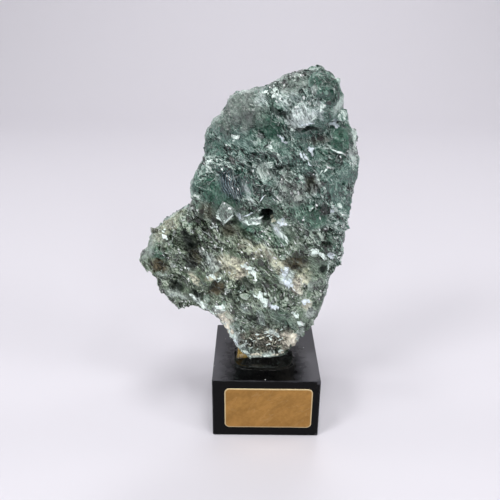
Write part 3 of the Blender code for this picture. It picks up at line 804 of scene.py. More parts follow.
    # The coats of colour, from the ground up. The deep coat and the gaps are painted shade, the sparks
    # painted glints and the silk a painted sheen. Silk is a coat that keeps some of what is under it.
    threads = pale_threads(add, place, streaks)
    threads = add("ShaderNodeMath", (threads, layer["net"]), operation="MULTIPLY")
    under = [*mineral_coats(add, stone, place, tone, layer), (threads, stone.cream)]
    fibres = silk_fibres(add, grain, tone, layer["silk"])
    silk = add("ShaderNodeMath", (layer["silk"], 0.9), operation="MULTIPLY")
    deep = add("ShaderNodeMath", (layer["deep"], 0.95), operation="MULTIPLY")
    blue = add("ShaderNodeMath", (layer["blue"], 0.95), operation="MULTIPLY")
    ribs = book_ribs(add, grain, streaks)
    for share, coat in under:
        colour = add("ShaderNodeMix", {0: share, 6: colour, 7: coat}, data_type="RGBA").outputs[2]
    silky = colour
    for share, coat in ((0.4, stone.pale_green), (fibres, stone.fibre)):
        silky = add("ShaderNodeMix", {0: share, 6: silky, 7: coat}, data_type="RGBA").outputs[2]
    inputs = {0: ribs, 6: stone.blue, 7: stone.steel}
    ribbed = add("ShaderNodeMix", inputs, data_type="RGBA").outputs[2]
    over = (
        (silk, silky),
        (deep, stone.deep),
        (blue, ribbed),
        (painted_glint, stone.painted_glint),
        (gap_shadow, stone.deep),
        (edge, stone.silver),
    )
    for share, coat in over:
        colour = add("ShaderNodeMix", {0: share, 6: colour, 7: coat}, data_type="RGBA").outputs[2]

    rough = add("ShaderNodeMapRange", (streaks, 0.3, 0.7, 0.08, 0.36))
    rough = add("ShaderNodeMath", (dull, 0.3, rough), operation="MULTIPLY_ADD")
    inputs = {"Strength": 0.25, "Distance": 0.12 * MM, "Height": streaks, "Normal": normal}
    bump = add("ShaderNodeBump", inputs)
    inputs = {"Base Color": colour, "Roughness": rough, "Specular IOR Level": shine, "Normal": bump}
    shader = add("ShaderNodeBsdfPrincipled", {"IOR": 1.6, **inputs})
    add("ShaderNodeOutputMaterial", (shader,))
    return material


def paint_material(holder):
    """Satin black paint, brushed on wood: black from the front, with a grey haze on top away from the
    glue that is dust and a painted reflection of the pale room, tiny white flecks, a soft orange
    peel, and edges rubbed grey."""
    material, add = start_material("satin black paint")
    place = add("ShaderNodeTexCoord").outputs["Object"]
    inputs = {"Vector": place, "Scale": 1 / (7 * MM), "Detail": 5.0, "Roughness": 0.65}
    smears = add("ShaderNodeTexNoise", inputs)
    ragged = add("ShaderNodeMapRange", (smears, 0.35, 0.65, -1, 1))
    middle = (BLOCK_LOW + BLOCK_HIGH) / 2
    half = (BLOCK_HIGH - BLOCK_LOW) / 2
    offset = add("ShaderNodeVectorMath", (place, middle), operation="SUBTRACT")
    offset = add("ShaderNodeVectorMath", (offset,), operation="ABSOLUTE")
    inside = add("ShaderNodeVectorMath", (half, offset), operation="SUBTRACT")
    x, y, z = add("ShaderNodeSeparateXYZ", (inside,)).outputs
    # On a face one of the three depths is nought, and the next one is the way to the nearest edge.
    lesser = add("ShaderNodeMath", (x, y), operation="MINIMUM")
    greater = add("ShaderNodeMath", (x, y), operation="MAXIMUM")
    edge = add("ShaderNodeMath", (greater, z), operation="MINIMUM")
    edge = add("ShaderNodeMath", (lesser, edge), operation="MAXIMUM")
    edge = add("ShaderNodeMath", (ragged, 0.25 * MM, edge), operation="MULTIPLY_ADD")
    rubbed = add("ShaderNodeMapRange", (edge, 0.15 * MM, 0.5 * MM, 0.5, 0))
    # At a corner all three depths are small, and the paint is knocked off.
    corner = add("ShaderNodeMath", (greater, z), operation="MAXIMUM")
    corner = add("ShaderNodeMath", (ragged, 0.5 * MM, corner), operation="MULTIPLY_ADD")
    knocked = add("ShaderNodeMapRange", (corner, 0.8 * MM, 1.2 * MM, 0.9, 0))
    rubbed = add("ShaderNodeMath", (rubbed, knocked), operation="MAXIMUM")
    normal = add("ShaderNodeNewGeometry").outputs["Normal"]
    upward = add("ShaderNodeSeparateXYZ", (normal,)).outputs["Z"]
    on_top = add("ShaderNodeMapRange", (upward, 0.5, 0.9, 0, 1))
    # The top is free of the dust and painted reflection round the middle of its front half, where the
    # glue runs out and where the stone's dark reflection falls.
    clean = Vector((-1 * MM, -12 * MM, BLOCK_TOP))
    away = add("ShaderNodeVectorMath", (place, clean), operation="SUBTRACT")
    away = add("ShaderNodeVectorMath", (away, (1.0, 0.45, 1.0)), operation="MULTIPLY")
    away = add("ShaderNodeVectorMath", (away,), operation="LENGTH").outputs["Value"]
    away = add("ShaderNodeMath", (ragged, 1.2 * MM, away), operation="MULTIPLY_ADD")
    away = add("ShaderNodeMapRange", (away, 11 * MM, 18 * MM, 0, 1))
    dust_and_reflection_mask = add("ShaderNodeMath", (on_top, away), operation="MULTIPLY")
    # Flecks lie about 3 mm apart, on a quarter of the places, and only on top.
    flecks = add("ShaderNodeTexVoronoi", {"Vector": place, "Scale": 1 / (3.2 * MM)}).outputs
    chance = add("ShaderNodeSeparateColor", (flecks["Color"],)).outputs
    reach = add("ShaderNodeMath", (chance[1], 0.07), operation="MULTIPLY")
    fleck = add("ShaderNodeMath", (flecks["Distance"], reach), operation="LESS_THAN")
    few = add("ShaderNodeMath", (chance[0], 0.75), operation="GREATER_THAN")
    fleck = add("ShaderNodeMath", (fleck, few), operation="MULTIPLY")
    fleck = add("ShaderNodeMath", (fleck, on_top), operation="MULTIPLY")
    # The haze on top is dust and a painted reflection of the pale room.
    colour = holder.paint
    for share, coat in ((dust_and_reflection_mask, holder.dust_and_reflection), (rubbed, holder.worn_paint), (fleck, holder.fleck)):
        colour = add("ShaderNodeMix", {0: share, 6: colour, 7: coat}, data_type="RGBA").outputs[2]
    rough = add("ShaderNodeMapRange", (smears, 0.3, 0.7, 0.12, 0.26))
    rough = add("ShaderNodeMath", (dust_and_reflection_mask, 0.16, rough), operation="MULTIPLY_ADD")
    peel = add("ShaderNodeTexNoise", {"Vector": place, "Scale": 1 / (2.2 * MM), "Detail": 3.0})
    bump = add("ShaderNodeBump", {"Strength": 0.12, "Distance": 0.1 * MM, "Height": peel})
    inputs = {"Base Color": colour, "Roughness": rough, "Normal": bump}
    shader = add("ShaderNodeBsdfPrincipled", {"IOR": 1.5, "Specular IOR Level": 0.12, **inputs})
    add("ShaderNodeOutputMaterial", (shader,))
    return material


def foil_material(holder):
    """Gold-lacquered paper foil, die-cut: a satin metal shine with broad brushed shading, slight
    mottling where it lies on the paint, and a paler cut rim."""
    material, add = start_material("gold label foil")
    place = add("ShaderNodeTexCoord").outputs["Object"]
    # Broad diagonal brushing and blotches about 5 mm wide, and creases about 1 mm apart, painted as
    # pale lines of highlight.
    turned = add("ShaderNodeVectorRotate", {"Vector": place, "Angle": 0.7}, rotation_type="Y_AXIS")
    brushed = add("ShaderNodeVectorMath", (turned, (0.5, 1.0, 1.2)), operation="MULTIPLY")
    inputs = {"Vector": brushed, "Scale": 1 / (5 * MM), "Detail": 5.0, "Roughness": 0.6}
    shade = add("ShaderNodeTexNoise", inputs)
    shade = add("ShaderNodeMapRange", (shade, 0.35, 0.65, 0, 1))
    mottle = add("ShaderNodeTexNoise", {"Vector": turned, "Scale": 1 / (1.1 * MM), "Detail": 4.0})
    blotch = add("ShaderNodeMapRange", (mottle, 0.35, 0.65, -0.5, 0.5))
    shade = add("ShaderNodeMath", (blotch, 0.5, shade), operation="MULTIPLY_ADD")
    folded = add("ShaderNodeVectorMath", (turned, (0.4, 1.0, 1.6)), operation="MULTIPLY")
    folds = add("ShaderNodeTexNoise", {"Vector": folded, "Scale": 1 / (7 * MM), "Detail": 3.0})
    crease_highlight = add("ShaderNodeMath", (folds, 0.56), operation="SUBTRACT")
    crease_highlight = add("ShaderNodeMath", (crease_highlight,), operation="ABSOLUTE")
    crease_highlight = add("ShaderNodeMapRange", (crease_highlight, 0, 0.012, 0.08, 0))
    rim = add("ShaderNodeAttribute", attribute_name="rim").outputs["Fac"]
    colour = holder.foil
    for share, coat in ((shade, holder.foil_shade), (crease_highlight, holder.foil_rim), (rim, holder.foil_rim)):
        colour = add("ShaderNodeMix", {0: share, 6: colour, 7: coat}, data_type="RGBA").outputs[2]
    bump = add("ShaderNodeBump", {"Strength": 0.35, "Distance": 0.08 * MM, "Height": mottle})
    inputs = {"Base Color": colour, "Metallic": 0.55, "Roughness": 0.42, "Normal": bump}
    shader = add("ShaderNodeBsdfPrincipled", inputs)
    add("ShaderNodeOutputMaterial", (shader,))
    return material


def glue_material(holder):
    """Set epoxy glue, poured and levelled: smooth and glossy, amber where it is thick, and nearly
    black where the paint shows through its thin skirt."""
    material, add = start_material("set epoxy glue")
    thick = add("ShaderNodeAttribute", attribute_name="thick").outputs["Fac"]
    inputs = {0: thick, 6: holder.glue_thin, 7: holder.glue}
    colour = add("ShaderNodeMix", inputs, data_type="RGBA").outputs[2]
    place = add("ShaderNodeTexCoord").outputs["Object"]
    ripple = add("ShaderNodeTexNoise", {"Vector": place, "Scale": 1 / (3 * MM), "Detail": 2.0})
    bump = add("ShaderNodeBump", {"Strength": 0.25, "Distance": 0.2 * MM, "Height": ripple})
    inputs = {"Base Color": colour, "Roughness": 0.1, "IOR": 1.55, "Specular IOR Level": 0.4}
    shader = add("ShaderNodeBsdfPrincipled", {"Normal": bump, **inputs})
    add("ShaderNodeOutputMaterial", (shader,))
    return material


def floor_material(stage):
    """A plain matt floor, painted and not quite white: it gives the eye nothing but soft shadow."""
    material, add = start_material("pale matt floor")
    shader = add("ShaderNodeBsdfPrincipled", {"Base Color": stage.floor, "Roughness": 0.9})
    add("ShaderNodeOutputMaterial", (shader,))
    return material


# ---- the stone's ground ----

# The fine surface lies this far inside the solid, so that its steps stay within it.
INSET = 0.35 * MM
# Whole bodies of mica stand proud: the length and width of their cells, their own half length and
# half width, and their rise.
BODY_CELL = (8.5 * MM, 5.5 * MM)
BODY_HALF = (5.2 * MM, 3.4 * MM)
BODY_RISE = 0.7 * MM
FOOT_SETTLES, FOOT_LIFTS, FOOT_NARROWS = 1.0 * MM, 0.6 * MM, 1.3 * MM
# Steps in the stone's relief: sheet length, width, step and lean.
SHEET_RELIEF = (
    (8.0 * MM, 5.0 * MM, 0.45 * MM, 0.22),
    (3.4 * MM, 1.9 * MM, 0.28 * MM, 0.35),
    (1.5 * MM, 0.9 * MM, 0.12 * MM, 0.40),
)


def fine_copy_of_stone(grain):
    """The stone's solid as one even, closed mesh."""
    bm = bmesh.new()
    bm.from_mesh(frame["nodes"]["mica_stone"].data)
    bmesh.ops.remove_doubles(bm, verts=bm.verts, dist=0.001 * MM)
    ground = new_object("stone_ground", finished_mesh(bm, "stone_ground"))
    remesh = ground.modifiers.new("fine mesh", "REMESH")
    remesh.mode = "VOXEL"
    remesh.voxel_size = grain
    settle(ground)
    return ground


def streak_frame(slope):
    """Rows that take a point to lengths along the grain, through the stone and across the grain."""
    along = (math.cos(slope), 0.0, math.sin(slope))
    across = (-math.sin(slope), 0.0, math.cos(slope))
    return np.array([along, (0.0, 1.0, 0.0), across])


class Cleavage:
    """Cells stretched along the grain, each a sheet with its own tilt, step and tone."""

    def __init__(self, points, slope, length, width, seed):
        draw = np.random.default_rng(seed)
        self.turn = streak_frame(slope)
        self.size = np.array([length, width, width])
        places = (points @ self.turn.T) / self.size
        low, high = np.floor(places.min(0)).astype(int), np.ceil(places.max(0)).astype(int)
        cells = np.stack(np.meshgrid(*[np.arange(a, b) for a, b in zip(low, high)], indexing="ij"), -1)
        cells = cells.reshape(-1, 3)
        self.seeds = cells + draw.random((len(cells), 3))
        self.tilts = draw.uniform(-1, 1, (len(cells), 2))
        self.steps = draw.uniform(-1, 1, len(cells))
        self.tones = draw.random(len(cells))
        self.tree = KDTree(len(cells))
        for index, seed_place in enumerate(self.seeds):
            self.tree.insert(seed_place, index)
        self.tree.balance()

    def find(self, points):
        """Each point's cell, and where it lies from the cell's middle, along and across the grain."""
        places = (points @ self.turn.T) / self.size
        found = np.array([self.tree.find(place)[1] for place in places])
        away = (places - self.seeds[found]) * self.size
        return found, away[:, 0], away[:, 2]

    def height(self, points, step, tilt_along, tilt_across):
        found, along, across = self.find(points)
        tilted = self.tilts[found, 0] * tilt_along * along + self.tilts[found, 1] * tilt_across * across
        return step * self.steps[found] + tilted


def vertex_normals(mesh):
    return read(mesh.vertex_normals, "vector", 3).astype(float)


def depth_through(points, tree):
    """How thick the stone is at each point, measured from front to back."""
    depth = np.zeros(len(points))
    for index, (x, _y, z) in enumerate(points):
        front = tree.ray_cast(Vector((x, -60 * MM, z)), Vector((0, 1, 0)))[0]
        back = tree.ray_cast(Vector((x, 60 * MM, z)), Vector((0, -1, 0)))[0]
        if front and back:
            depth[index] = back.y - front.y
    return depth


def surface_tree(mesh):
    return BVHTree.FromPolygons([v.co for v in mesh.vertices], [f.vertices for f in mesh.polygons])


class MICA_OT_stone_ground(bpy.types.Operator):
    """Makes the stone's ground: its solid with cleavage steps and its mineral patches, some of which
    are painted light and shade.
    """

    bl_idname = "mica.stone_ground"
    bl_label = "Stone ground"

    def execute(self, context):
        stone = context.scene.mica_stone
        ground = fine_copy_of_stone(stone.grain)
        mesh = ground.data
        points = points_of(mesh)
        normals = vertex_normals(mesh)
        depth = depth_through(points, surface_tree(mesh))
        thin = 1 - smooth_step(1.0 * MM, 7.0 * MM, depth)
        height = np.full(len(points), -INSET)
        for number, (length, width, step, lean) in enumerate(SHEET_RELIEF):
            cells = Cleavage(points, stone.streak_slope, length, width, seed=3 + number)
            height += cells.height(points, step, 0.4 * lean, lean)
        shares = mineral_shares(points)
        # Whole bodies are smooth, and rarer in the rusty lower half.
        bodies = Cleavage(points, stone.streak_slope, *BODY_CELL, seed=9)
        found, along, across = bodies.find(points)
        away = np.hypot(along / BODY_HALF[0], across / BODY_HALF[1])
        fewer = 0.45 + 0.35 * np.clip(shares["olive"] / 0.7, 0, 1)
        whole = smooth_step(fewer, fewer + 0.12, bodies.tones[found]) * (1 - smooth_step(0.85, 1.15, away))
        height += BODY_RISE * whole * np.sqrt(np.clip(1.2 - away**2, 0, 1))
        shares["smooth"] = np.maximum(shares["smooth"], 0.8 * whole)
        foot = smooth_step(0.0, 1.5 * MM, points[:, 2] - STONE_LOW.z)
        # The foot's left end is lifted off the glue, the rest settles in, and its right side is cut in.
        low = 1 - smooth_step(0.0, 5.0 * MM, points[:, 2] - STONE_LOW.z)
        points[:, 2] -= FOOT_SETTLES * low * smooth_step(-8.5 * MM, -5.0 * MM, points[:, 0])
        points[:, 2] += FOOT_LIFTS * low * (1 - smooth_step(-9.5 * MM, -6.0 * MM, points[:, 0]))
        points[:, 0] -= FOOT_NARROWS * low * smooth_step(4.0 * MM, 9.0 * MM, points[:, 0])
        calm = (1 - 0.6 * thin) * (1 - 0.6 * shares["smooth"])
        height = height * calm + dome_rise(points)
        points += normals * (height * foot)[:, None]
        hollow = (1 - smooth_step(1.7 * MM, 2.5 * MM, from_pit(points))) * (points[:, 1] < 0)
        points[:, 1] += PIT_DEPTH * hollow
        for mineral in MINERALS:
            shares[mineral] = shares[mineral] * (1 - hollow)
        # The pit's hollow takes the deep colour: painted shade.
        shares["deep"] = np.maximum(shares["deep"], hollow)
        front = points[:, 1] < -2 * MM
        points[:, 1] += CREVICE_DEPTH * shares["deep"] * front * (1 - hollow)
        mesh.vertices.foreach_set("co", points.astype(np.float32).ravel())
        mesh.update()
        self.add_bake_map(mesh, points)
        # Thin places turn pale: painted light that stands for light shining through thin mica.
        shares["frost"] = np.maximum(shares["frost"], 0.45 * thin)
        for mineral, values in shares.items():
            store(mesh, mineral, values)
        mesh.materials.clear()
        mesh.materials.append(mica_material(stone))
        ride_as(ground, "green_mica", "mica_stone")
        return {"FINISHED"}

    @staticmethod
    def add_bake_map(mesh, points):
        """Lays the front over the map's left half and the back over its right half."""
        faces_back = read(mesh.polygons, "normal", 3)[:, 1] > 0
        back = np.repeat(faces_back, read(mesh.polygons, "loop_total", 1, np.int32))
        low, high = points.min(0), points.max(0)
        flat = ((points - low) / (high - low))[read(mesh.loops, "vertex_index", 1, np.int32)]
        u = 0.01 + 0.48 * flat[:, 0] + 0.5 * back
        uv = np.stack([u, 0.01 + 0.98 * flat[:, 2]], axis=1)
        layer = mesh.uv_layers.new(name="OFBake")
        layer.uv.foreach_set("vector", uv.astype(np.float32).ravel())


# ---- mica flakes ----

# A flake's half length and half width, before it is scaled.
FLAKE_HALF = (0.5, 0.31)
# No flake lies this near to the middle of the pit.
PIT_CLEAR = 3.0 * MM


def flake_mesh(name, sides, sheets, seed):
    """A ragged stack of sheets one unit long and about 0.6 wide, closed, with a bake map."""
    draw = np.random.default_rng(seed)
    bm = bmesh.new()
    edge_layer = bm.faces.layers.float.new("sheet_edge")
    uv_layer = bm.loops.layers.uv.new("OFBake")
    base = np.sort((np.arange(sides) + draw.uniform(-0.36, 0.36, sides)) / sides) * 2 * math.pi
    reach = draw.uniform(0.5, 1.0, sides)
    depth = 0.09 if sheets > 1 else 0.12
    for sheet in range(sheets):
        low = (sheet - sheets / 2) * depth
        shrink = 1 - 0.12 * sheet
        shift = draw.uniform(-0.06, 0.06, 2) * sheet
        lean = draw.uniform(-0.03, 0.03, 2)
        ring = []
        for level in (low, low + depth * 1.02):
            ragged = reach * shrink * draw.uniform(0.93, 1.0, sides)
            x = FLAKE_HALF[0] * ragged * np.cos(base) + shift[0]
            y = FLAKE_HALF[1] * ragged * np.sin(base) + shift[1]
            z = level + (lean[0] * x + lean[1] * y if level > low else 0)
            ring.append([bm.verts.new(corner) for corner in zip(x, y, np.broadcast_to(z, x.shape))])
        bottom, top = ring
        faces = [(bm.faces.new(top), 0.0), (bm.faces.new(bottom[::-1]), 0.0)]
        for n in range(sides):
            m = (n + 1) % sides
            faces.append((bm.faces.new((bottom[n], bottom[m], top[m], top[n])), 1.0))
        for face, edge in faces:
            face[edge_layer] = edge
            # In the bake map a flake's faces lie on the left and its edges, unrolled, on the right.
            for loop in face.loops:
                x, y, z = loop.vert.co
                around = (math.atan2(y, x) / (2 * math.pi)) % 1.0
                if edge:
                    loop[uv_layer].uv = (0.78 + 0.18 * (z - low) / depth, 0.06 + 0.88 * around)
                else:
                    loop[uv_layer].uv = (0.37 + 0.6 * x, 0.5 + 0.9 * y)
    bmesh.ops.triangulate(bm, faces=bm.faces)
    return finished_mesh(bm, name)


def flake_templates(sides, sheets, count, seed):
    collection = bpy.data.collections.new("flake shapes")
    for n in range(count):
        mesh = flake_mesh(f"flake_shape_{n}", sides, sheets, seed + n)
        collection.objects.link(bpy.data.objects.new(mesh.name, mesh))
    return collection


def scatter_tree(material, templates):
    """Geometry nodes that strew flakes over a surface, lying along its grain with some tilt."""
    tree = bpy.data.node_groups.new("mica flakes on stone", "GeometryNodeTree")
    add = partial(add_node, tree)
    new_socket = tree.interface.new_socket
    new_socket("Geometry", in_out="INPUT", socket_type="NodeSocketGeometry")
    new_socket("Geometry", in_out="OUTPUT", socket_type="NodeSocketGeometry")
    for name in ("Spacing", "Shortest", "Longest", "Sink"):
        new_socket(name, in_out="INPUT", socket_type="NodeSocketFloat")
    for name in ("Grain Direction", "Tilt"):
        new_socket(name, in_out="INPUT", socket_type="NodeSocketVector")
    new_socket("Seed", in_out="INPUT", socket_type="NodeSocketInt")
    given = add("NodeGroupInput").outputs
    seed = given["Seed"]

    scatter = add("GeometryNodeInputNamedAttribute", {"Name": "scatter"}).outputs["Attribute"]
    inputs = {"Mesh": given["Geometry"], "Distance Min": given["Spacing"], "Seed": seed}
    inputs.update({"Density Max": 4.0e6, "Density Factor": scatter})
    strewn = add("GeometryNodeDistributePointsOnFaces", inputs, distribute_method="POISSON").outputs
    # Each flake lies flat, turns its length along the grain and then leans at random.
    flat = add("FunctionNodeAlignRotationToVector", {"Vector": strewn["Normal"]}, axis="Z")
    inputs = {"Rotation": flat, "Vector": given["Grain Direction"]}
    along = add("FunctionNodeAlignRotationToVector", inputs, axis="X", pivot_axis="Z")
    minus = add("ShaderNodeVectorMath", {0: given["Tilt"], "Scale": -1.0}, operation="SCALE")
    inputs = {"Min": minus, "Max": given["Tilt"], "Seed": seed}
    lean = add("FunctionNodeRandomValue", inputs, data_type="FLOAT_VECTOR")
    turn = add("FunctionNodeEulerToRotation", (lean,))
    inputs = {"Rotation": along, "Rotate By": turn}
    turned = add("FunctionNodeRotateRotation", inputs, rotation_space="LOCAL")
    # Long flakes are rarer than short ones, and their width and thickness vary.
    length_seed = add("FunctionNodeIntegerMath", (seed, 7), operation="ADD")
    share = add("FunctionNodeRandomValue", {"Seed": length_seed}, data_type="FLOAT").outputs[1]
    rare = add("ShaderNodeMath", (share, 2.2), operation="POWER")
    inputs = {"Value": rare, "To Min": given["Shortest"], "To Max": given["Longest"]}
    length = add("ShaderNodeMapRange", inputs)
    shape_seed = add("FunctionNodeIntegerMath", (seed, 13), operation="ADD")
    inputs = {"Min": (1.0, 0.7, 0.5), "Max": (1.0, 1.5, 1.2), "Seed": shape_seed}
    girth = add("FunctionNodeRandomValue", inputs, data_type="FLOAT_VECTOR")
    scale = add("ShaderNodeVectorMath", {0: girth, "Scale": length}, operation="SCALE")
    inputs = {4: 0, 5: len(templates.objects) - 1, "Seed": shape_seed}
    pick = add("FunctionNodeRandomValue", inputs, data_type="INT").outputs[2]
    inputs = {"Collection": templates, "Separate Children": True, "Reset Children": True}
    shapes = add("GeometryNodeCollectionInfo", inputs)
    inputs = {"Points": strewn["Points"], "Instance": shapes, "Pick Instance": True}
    inputs.update({"Instance Index": pick, "Rotation": turned, "Scale": scale})
    placed = add("GeometryNodeInstanceOnPoints", inputs)
    sunk = add("ShaderNodeCombineXYZ", {"Z": given["Sink"]})
    inputs = {"Instances": placed, "Translation": sunk, "Local Space": True}
    flakes = add("GeometryNodeTranslateInstances", inputs)
    # Each flake remembers its number and its place, to be coloured as one.
    for name, kind, source in (
        ("flake_number", "INT", "GeometryNodeInputIndex"),
        ("flake_place", "FLOAT_VECTOR", "GeometryNodeInputPosition"),
    ):
        inputs = {"Geometry": flakes, "Name": name, "Value": add(source)}
        flakes = add("GeometryNodeStoreNamedAttribute", inputs, data_type=kind, domain="INSTANCE")
    real = add("GeometryNodeRealizeInstances", {"Geometry": flakes})
    finished = add("GeometryNodeSetMaterial", {"Geometry": real, "Material": material})
    add("NodeGroupOutput", (finished,))
    return tree


def input_names(tree):
    """Each named input's identifier, which is what a modifier goes by."""
    return {
        item.name: item.identifier
        for item in tree.interface.items_tree
        if item.item_type == "SOCKET" and item.in_out == "INPUT"
    }


def give_each_flake_its_map(mesh, flake, count):
    """Moves each flake's part of the bake map to a cell of its own."""
    across = math.ceil(math.sqrt(count))
    layer = mesh.uv_layers["OFBake"].uv
    number = flake[read(mesh.loops, "vertex_index", 1, np.int32)]
    cell = np.stack([number % across, number // across], axis=1)
    moved = (cell + read(layer, "vector", 2)) / across
    layer.foreach_set("vector", moved.astype(np.float32).ravel())


def colour_flakes(mesh, seed, bright):
    """Gives each flake one tone and the minerals of its place."""
    flake = read(mesh.attributes["flake_number"].data, "value", 1, np.int32)
    place = read(mesh.attributes["flake_place"].data, "vector", 3).astype(float)
    count = int(flake.max()) + 1
    first = np.zeros(count, np.int64)
    first[flake[::-1]] = np.arange(len(flake))[::-1]
    middles = place[first]
    draw = np.random.default_rng(seed)
    tone = draw.random(count) ** bright
    store(mesh, "tone", tone[flake])
    store(mesh, "flake", np.ones(len(flake)))
    for mineral, share in mineral_shares(middles).items():
        varied = np.clip(share * draw.uniform(0.55, 1.2, count), 0, 1)
        store(mesh, mineral, varied[flake])
    give_each_flake_its_map(mesh, flake, count)
    for name in ("flake_number", "flake_place"):
        mesh.attributes.remove(mesh.attributes[name])


def strew(name, settings, templates, material, bright):
    """Strews flakes over the ground and returns them as one plain mesh."""
    ground = bpy.data.objects["stone_ground"]
    surface = ground.data.copy()
    surface.uv_layers.remove(surface.uv_layers["OFBake"])
    flakes = new_object(name, surface)
    tree = scatter_tree(material, templates)
    modifier = flakes.modifiers.new("flakes", "NODES")
    modifier.node_group = tree
    identifiers = input_names(tree)
    for socket, value in settings.items():
        modifier[identifiers[socket]] = value
    settle(flakes)
    colour_flakes(flakes.data, settings["Seed"], bright)
    for shape in list(templates.objects):
        drop(shape)
    bpy.data.collections.remove(templates)
    bpy.data.node_groups.remove(tree)
    return flakes


def mark_where_flakes_lie(ground, on_rim):
    """Fewer flakes on the smooth patches, round the rim and in the pit than elsewhere."""
    points = points_of(ground.data)
    layers = ground.data.attributes
    smooth, deep, ribbed = (read(layers[name].data, "value") for name in ("smooth", "deep", "blue"))
    pit = from_pit(points) < PIT_CLEAR
    near_foot = points[:, 2] < STONE_LOW.z - 0.3 * MM
    clusters = smooth_step(-0.3, 0.3, noise_at(points, 150, 7.0))
    rim = 1 - smooth_step(0.25, 0.6, np.abs(vertex_normals(ground.data)[:, 1]))
    scatter = (clusters * (1 - smooth) * (1 - ribbed) - 0.4 * deep) * (1 - (1 - on_rim) * rim)
    for x, height, length, width, *_rest in LANDMARK_BOOKS:
        away = np.hypot(points[:, 0] - x * MM, points[:, 2] - BLOCK_TOP - height * MM)
        scatter[(away < 0.25 * (length + width) * MM) & (points[:, 1] < 0)] = 0.0
    scatter[(pit & (points[:, 1] < 0)) | near_foot] = 0.0
    store(ground.data, "scatter", np.clip(scatter, 0, 1))


class MICA_OT_flakes(bpy.types.Operator):
    """Strews mica flakes over the stone in three sizes, lying along its grain."""

    bl_idname = "mica.flakes"
    bl_label = "Mica flakes"

    def execute(self, context):
        stone = context.scene.mica_stone
        ground = bpy.data.objects["stone_ground"]
        material = ground.data.materials[0]
        grain = (math.cos(stone.streak_slope), 0.0, math.sin(stone.streak_slope))
        # Lengths here are in millimetres and tilts in degrees.
        layers = [
            ("mica_books", stone.book_spacing, 3.0, 7.0, -0.35, (20, 8, 25), (5, 3), 21, 1.7),
            ("mica_flakes", stone.flake_spacing, 1.4, 3.6, -0.08, (26, 10, 25), (5, 1), 22, 1.3),
            ("mica_glitter", stone.glitter_spacing, 0.5, 1.3, 0.0, (28, 14, 40), (4, 1), 23, 1.0),
        ]
        for name, spacing, shortest, longest, sink, tilt, (sides, sheets), seed, bright in layers:
            mark_where_flakes_lie(ground, on_rim=0.0 if name == "mica_books" else 0.7)
            templates = flake_templates(sides, sheets, 6, 10 * seed)
            settings = {
                "Spacing": spacing,
                "Shortest": shortest * MM,
                "Longest": longest * MM,
                "Sink": sink * MM,
                "Grain Direction": grain,
                "Tilt": [math.radians(angle) for angle in tilt],
                "Seed": seed,
            }
            flakes = strew(name, settings, templates, material, bright)
            ride_as(flakes, "green_mica")
        return {"FINISHED"}


# The number of needles over the stone's foot.
NEEDLES = 52
# A book at least this long is a plate, one narrower than this a strand or a needle, and one between
# these widths a leaf, all in millimetres.
PLATE_LENGTH = 8.0
STRAND_WIDTH, NEEDLE_WIDTH = 1.7, 0.85
LEAF_WIDTHS = (2.4, 8.0)
# How far a leaf and any other book stands off the ground. A plate stands off further the longer
# it is, so that it clears the ground.
LEAF_STANDS, BOOK_STANDS = 0.5 * MM, 0.1 * MM
# The scale of thickness that makes a plate 1.4 mm thick and any other book 0.4 mm.
PLATE_DEPTH, BOOK_DEPTH = 8.0 * MM, 2.4 * MM
# How strongly a book shows its mineral.
BOOK_MINERALS = {"frost": 1.0, "ice": 1.0, "cream": 1.0, "grey": 0.8, "buff": 0.9}


def foot_needles(draw, count):
    """Thin white needles that lie every way over the stone's foot, like landmark books."""
    needles = []
    for needle in range(count):
        x, height = draw.uniform(-10, 7), draw.uniform(3, 15)
        length, slope = draw.uniform(1.5, 3.8), draw.uniform(-85, 85)
        mineral = ("frost", "frost", "buff")[needle % 3]
        needles.append((x, height, length, draw.uniform(0.4, 0.84), slope, 22, 0, mineral))
    return needles


